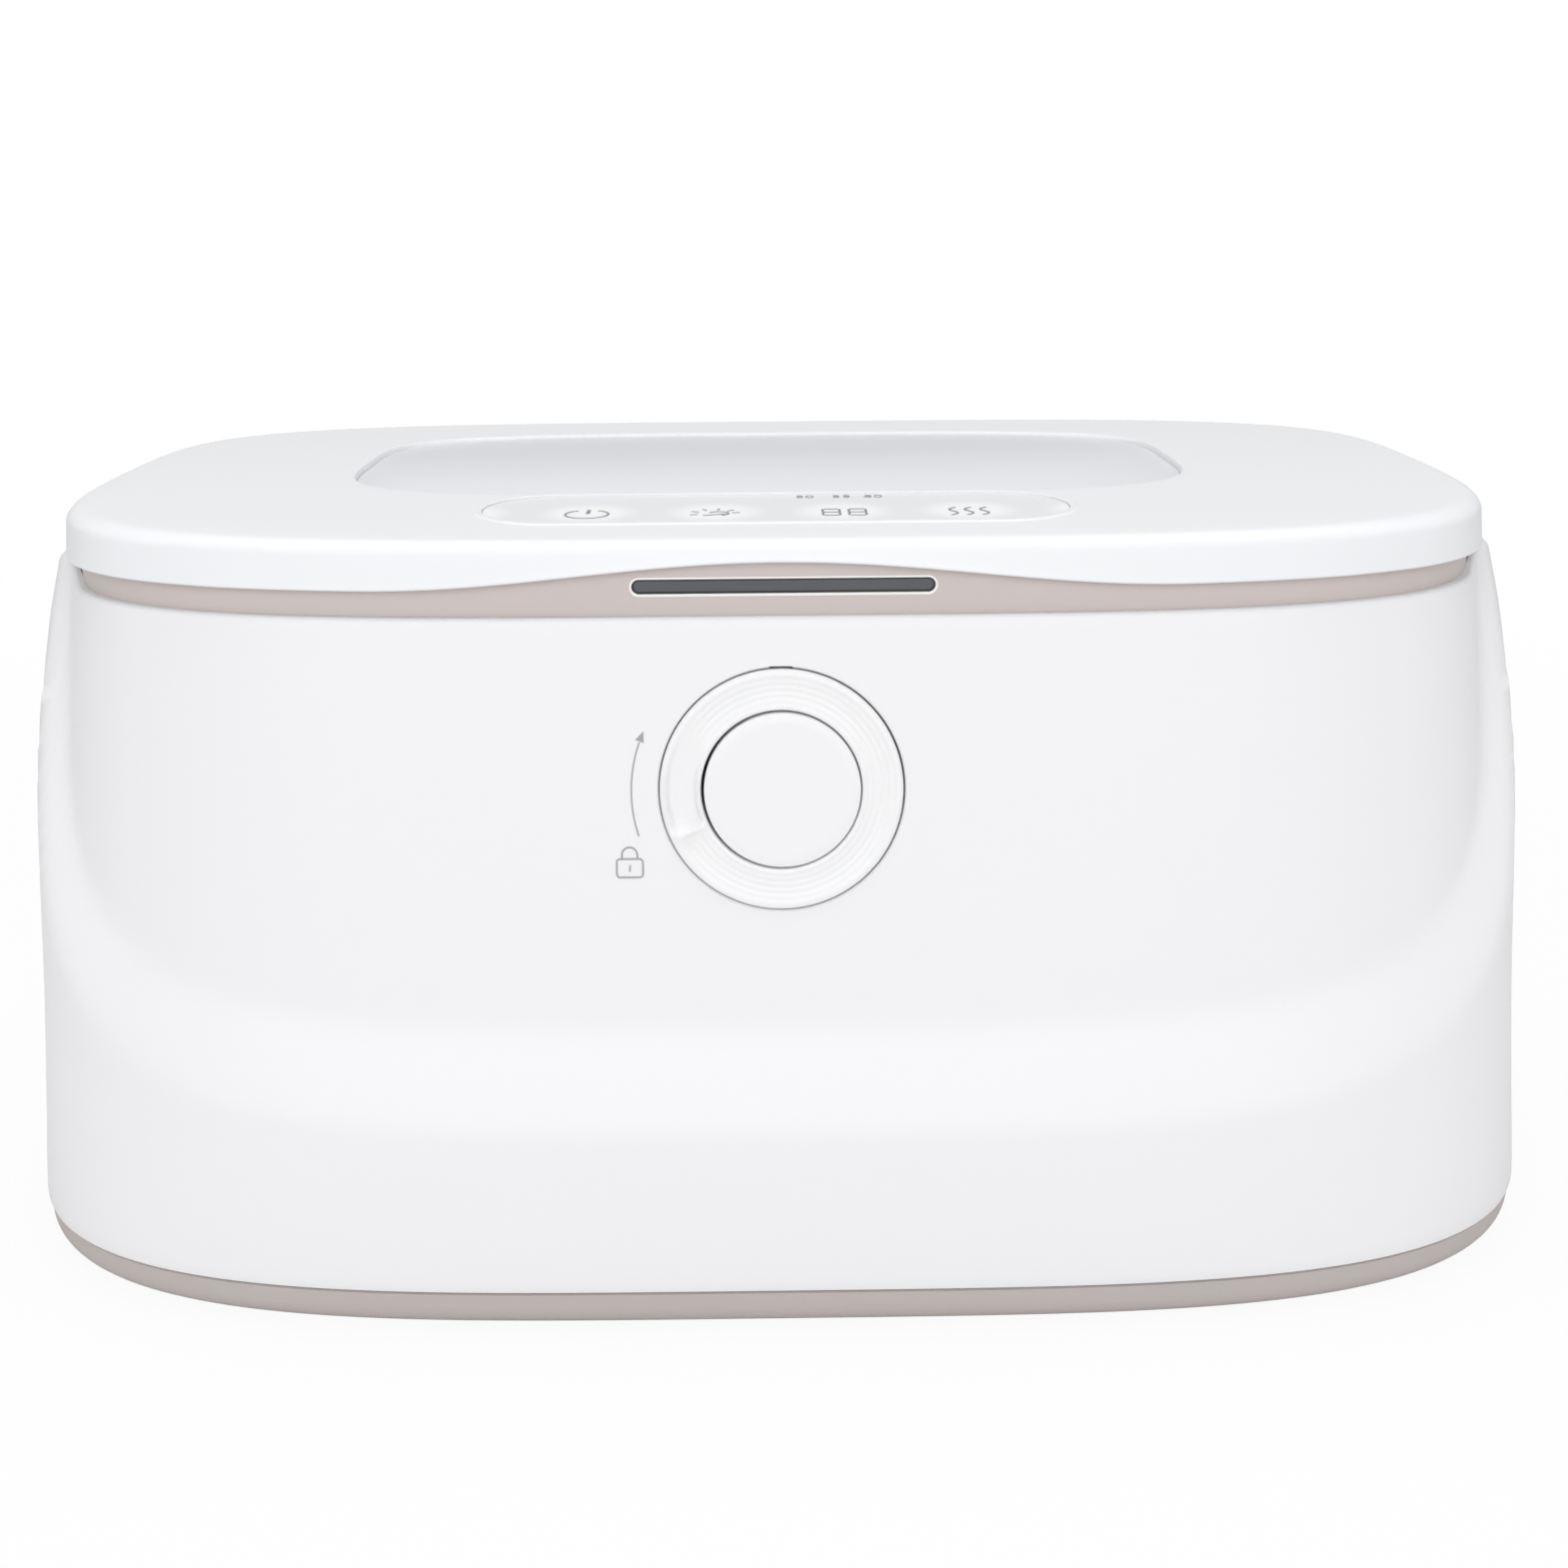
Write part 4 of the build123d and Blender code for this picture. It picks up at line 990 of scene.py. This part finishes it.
def makeLockPrint():
    bm = bmesh.new()
    x, y, line, corner = (padlock[k] for k in ("x", "y", "line", "corner"))
    right, high = padlock["width"] / 2, padlock["height"] / 2
    outline = []
    for sx, sy, low in ((1, 1, 0), (-1, 1, 90), (-1, -1, 180), (1, -1, 270)):
        cx, cy = x + sx * (right - corner), y + sy * (high - corner)
        outline += arcPoints(cx, cy, corner, low, low + 90, 6)
    stroke(bm, outline, line, onPanel, closed=True)
    radius, rise = padlock["shackle"]
    bow = arcPoints(x, y + high + rise, radius, 0, 180, 14)
    shackle = [(x + radius, y + high), *bow, (x - radius, y + high)]
    stroke(bm, shackle, line, onPanel)
    stroke(bm, [(x + 0.05, y + 0.45), (x - 0.02, y - 0.5)], padlock["keyhole"], onPanel)
    stroke(bm, arcPoints(0.0, arrow["y"], arrow["radius"], *arrow["turns"], 30), arrow["line"], onPanel)
    tip = math.radians(arrow["tip"])
    middle = Vector((arrow["radius"] * math.cos(tip), arrow["y"] + arrow["radius"] * math.sin(tip)))
    along = Vector((math.sin(tip), -math.cos(tip)))
    across = Vector((-along.y, along.x))
    ahead, behind, half = arrow["head"]
    foot, side = middle - along * behind, across * half
    head = [middle + along * ahead, foot + side, foot - side]
    patch(bm, [tuple(p) for p in head], onPanel)
    dress(makeObject(bm, "lockPrint"), finish["print"], "base", "white")


icons = {
    "y": -47.9,
    "power": -28.1,
    "lamp": -9.2,
    "digits": 10.1,
    "heat": 28.6,
    "line": 0.32,
    "labelY": -34.7,
    "labels": {4.4: "50", 10.0: "55", 15.0: "60"},  # place along the strip and reading
}
# bars lit in each figure: top, middle, bottom, then the sides from the lower left to the upper right
figures = {"8": "1111111", "0": "1011111", "5": "1110011", "6": "1111011"}
bigFigure = {"apart": 1.95, "half": (1.25, 2.45), "line": 0.34}
smallFigure = {"apart": 0.8, "half": (0.48, 0.85), "line": 0.2}


def numeral(bm, signs, x, y, style):  # two figures built from bars
    (w, h), line = style["half"], style["line"]
    gap = line * 0.6
    for sign, cx in zip(signs, (x - style["apart"], x + style["apart"])):
        bars = [[(cx - w + gap, y + v), (cx + w - gap, y + v)] for v in (h, 0, -h)]
        for u, v in ((-w, -h), (-w, 0), (w, -h), (w, 0)):
            bars.append([(cx + u, y + v + gap), (cx + u, y + v + h - gap)])
        for lit, bar in zip(figures[sign], bars):
            if lit == "1":
                stroke(bm, bar, line, onStrip)


def makePowerIcon(bm, x, y, line):
    stroke(bm, arcPoints(x, y, 3.2, 118, 422, 36), line, onStrip)
    stroke(bm, [(x + 0.1, y + 0.4), (x + 0.1, y + 3.4)], 0.55, onStrip)


def makeLampIcon(bm, x, y, line):
    stroke(bm, arcPoints(x + 0.6, y - 0.3, 1.5, -70, 150, 20), line, onStrip)
    stroke(bm, [(x - 1.6, y - 1.8), (x + 1.6, y - 0.6)], line, onStrip)
    for ray in (5, 42, 80, 118, 155, 200):
        c, s = math.cos(math.radians(ray)), math.sin(math.radians(ray))
        stroke(bm, [(x + 2.6 * c, y + 2.4 * s), (x + 3.8 * c, y + 3.6 * s)], 0.26, onStrip)


def makeHeatIcon(bm, x, y, line):
    pitch, swing, half, count = 2.3, 0.75, 3.0, 24
    for cx in (x - pitch, x, x + pitch):
        wave = []
        for i in range(count + 1):
            t = i / count
            wave.append((cx + swing * math.sin(2 * math.pi * t) - 0.5 + t, y - half + 2 * half * t))
        stroke(bm, wave, line, onStrip)


def makeIcons():
    bm = bmesh.new()
    y, line = icons["y"], icons["line"]
    makePowerIcon(bm, icons["power"], y, line)
    makeLampIcon(bm, icons["lamp"], y, line)
    numeral(bm, "88", icons["digits"], y, bigFigure)
    for x, label in icons["labels"].items():
        numeral(bm, label, x, icons["labelY"], smallFigure)
    makeHeatIcon(bm, icons["heat"], y, line)
    dress(makeObject(bm, "iconPrint"), finish["iconPrint"], "lid", "panel")
    print("icons made")


makeHousing()
makePan()
makeCollar()
makeLid()
makeStripBead()
makeLug()
makeWindow()
makeTouchPanel()
print("window, strip and lug made")
makeLockRing()
makeButton()
print("ring and button made")
makeLockPrint()
makeIcons()

# colour of the floor and, by distance from the object's middle in metres, how much of what the
# camera sees of it is plain white instead
ground = {"size": 2500, "color": (0.78, 0.78, 0.78), "distance": (0.18, 0.6), "plain": (0.93, 1.0)}


def makeFloor():
    bm = bmesh.new()
    bmesh.ops.create_grid(bm, x_segments=1, y_segments=1, size=ground["size"])
    floor = makeObject(bm, "studioFloor", recalc=False)
    material = bpy.data.materials.new("studioWhite")
    material.use_nodes = True
    nodes, links = material.node_tree.nodes, material.node_tree.links
    nodes.clear()
    out = nodes.new("ShaderNodeOutputMaterial")
    mix = nodes.new("ShaderNodeMixShader")
    matte = nodes.new("ShaderNodeBsdfDiffuse")
    matte.inputs["Color"].default_value = (*ground["color"], 1)
    plain = nodes.new("ShaderNodeEmission")
    plain.inputs["Color"].default_value = (1, 1, 1, 1)
    path = nodes.new("ShaderNodeLightPath")
    share = nodes.new("ShaderNodeMath")
    share.operation = "MULTIPLY"
    place = nodes.new("ShaderNodeTexCoord")
    fade = fadeByDistance(nodes, links, place.outputs["Object"], ground["distance"], ground["plain"])
    links.new(fade, share.inputs[1])
    links.new(path.outputs["Is Camera Ray"], share.inputs[0])
    links.new(share.outputs[0], mix.inputs[0])
    links.new(matte.outputs[0], mix.inputs[1])
    links.new(plain.outputs[0], mix.inputs[2])
    links.new(mix.outputs[0], out.inputs["Surface"])
    floor.data.materials.append(material)


studio = {
    "world": 0.45,
    "aim": (0, 0, 0.06),
    # watts, place and size of each lamp, in metres
    "lamps": {
        "frontSoftbox": (9.0, (0.0, -1.15, 0.55), (2.0, 0.8)),
        "topSoftbox": (9.5, (0.0, 0.1, 1.3), (1.2, 1.0)),
        "leftSoftbox": (1.0, (-1.2, -0.2, 0.5), (0.8, 0.8)),
        "rightSoftbox": (0.7, (1.2, -0.2, 0.5), (0.8, 0.8)),
    },
}


def softLight(name, watts, place, size):
    data = bpy.data.lights.new(name, "AREA")
    data.shape = "RECTANGLE"
    data.size, data.size_y = size
    data.energy = watts
    lamp = bpy.data.objects.new(name, data)
    lamp.location = place
    lamp.rotation_euler = (Vector(studio["aim"]) - Vector(place)).to_track_quat("-Z", "Y").to_euler()
    bpy.context.scene.collection.objects.link(lamp)


def makeStudio():
    world = bpy.data.worlds.new("studio")
    world.use_nodes = True
    nodes, links = world.node_tree.nodes, world.node_tree.links
    nodes.clear()
    out = nodes.new("ShaderNodeOutputWorld")
    sky = nodes.new("ShaderNodeBackground")
    sky.inputs["Color"].default_value = (1, 1, 1, 1)
    path = nodes.new("ShaderNodeLightPath")
    level = nodes.new("ShaderNodeMapRange")
    level.inputs["To Min"].default_value = studio["world"]
    level.inputs["To Max"].default_value = 1.0
    links.new(path.outputs["Is Camera Ray"], level.inputs["Value"])
    links.new(level.outputs["Result"], sky.inputs["Strength"])
    links.new(sky.outputs[0], out.inputs["Surface"])
    bpy.context.scene.world = world
    for name, values in studio["lamps"].items():
        softLight(name, *values)


camera = {  # place in millimetres, then its axes
    "place": (-1.7648, -337.9195, 165.8734),
    "right": (0.9999, -0.0112, -0.0074),
    "up": (0.0104, 0.2977, 0.9546),
    "back": (-0.0085, -0.9546, 0.2978),
    "lens": 45.10,
    "sensor": 36.0,
    "clip": (0.01, 20.0),
}


def makeCamera():
    data = bpy.data.cameras.new("frontCamera")
    data.sensor_width = camera["sensor"]
    data.sensor_fit = "HORIZONTAL"
    data.lens = camera["lens"]
    data.clip_start, data.clip_end = camera["clip"]
    obj = bpy.data.objects.new("frontCamera", data)
    axes = Matrix([camera["right"], camera["up"], camera["back"]]).transposed().to_4x4()
    obj.matrix_world = Matrix.Translation(Vector(camera["place"]) * mm) @ axes
    bpy.context.scene.collection.objects.link(obj)
    bpy.context.scene.camera = obj


makeFloor()
makeStudio()
makeCamera()
bpy.context.scene.view_settings.view_transform = "Standard"
print("studio ready")
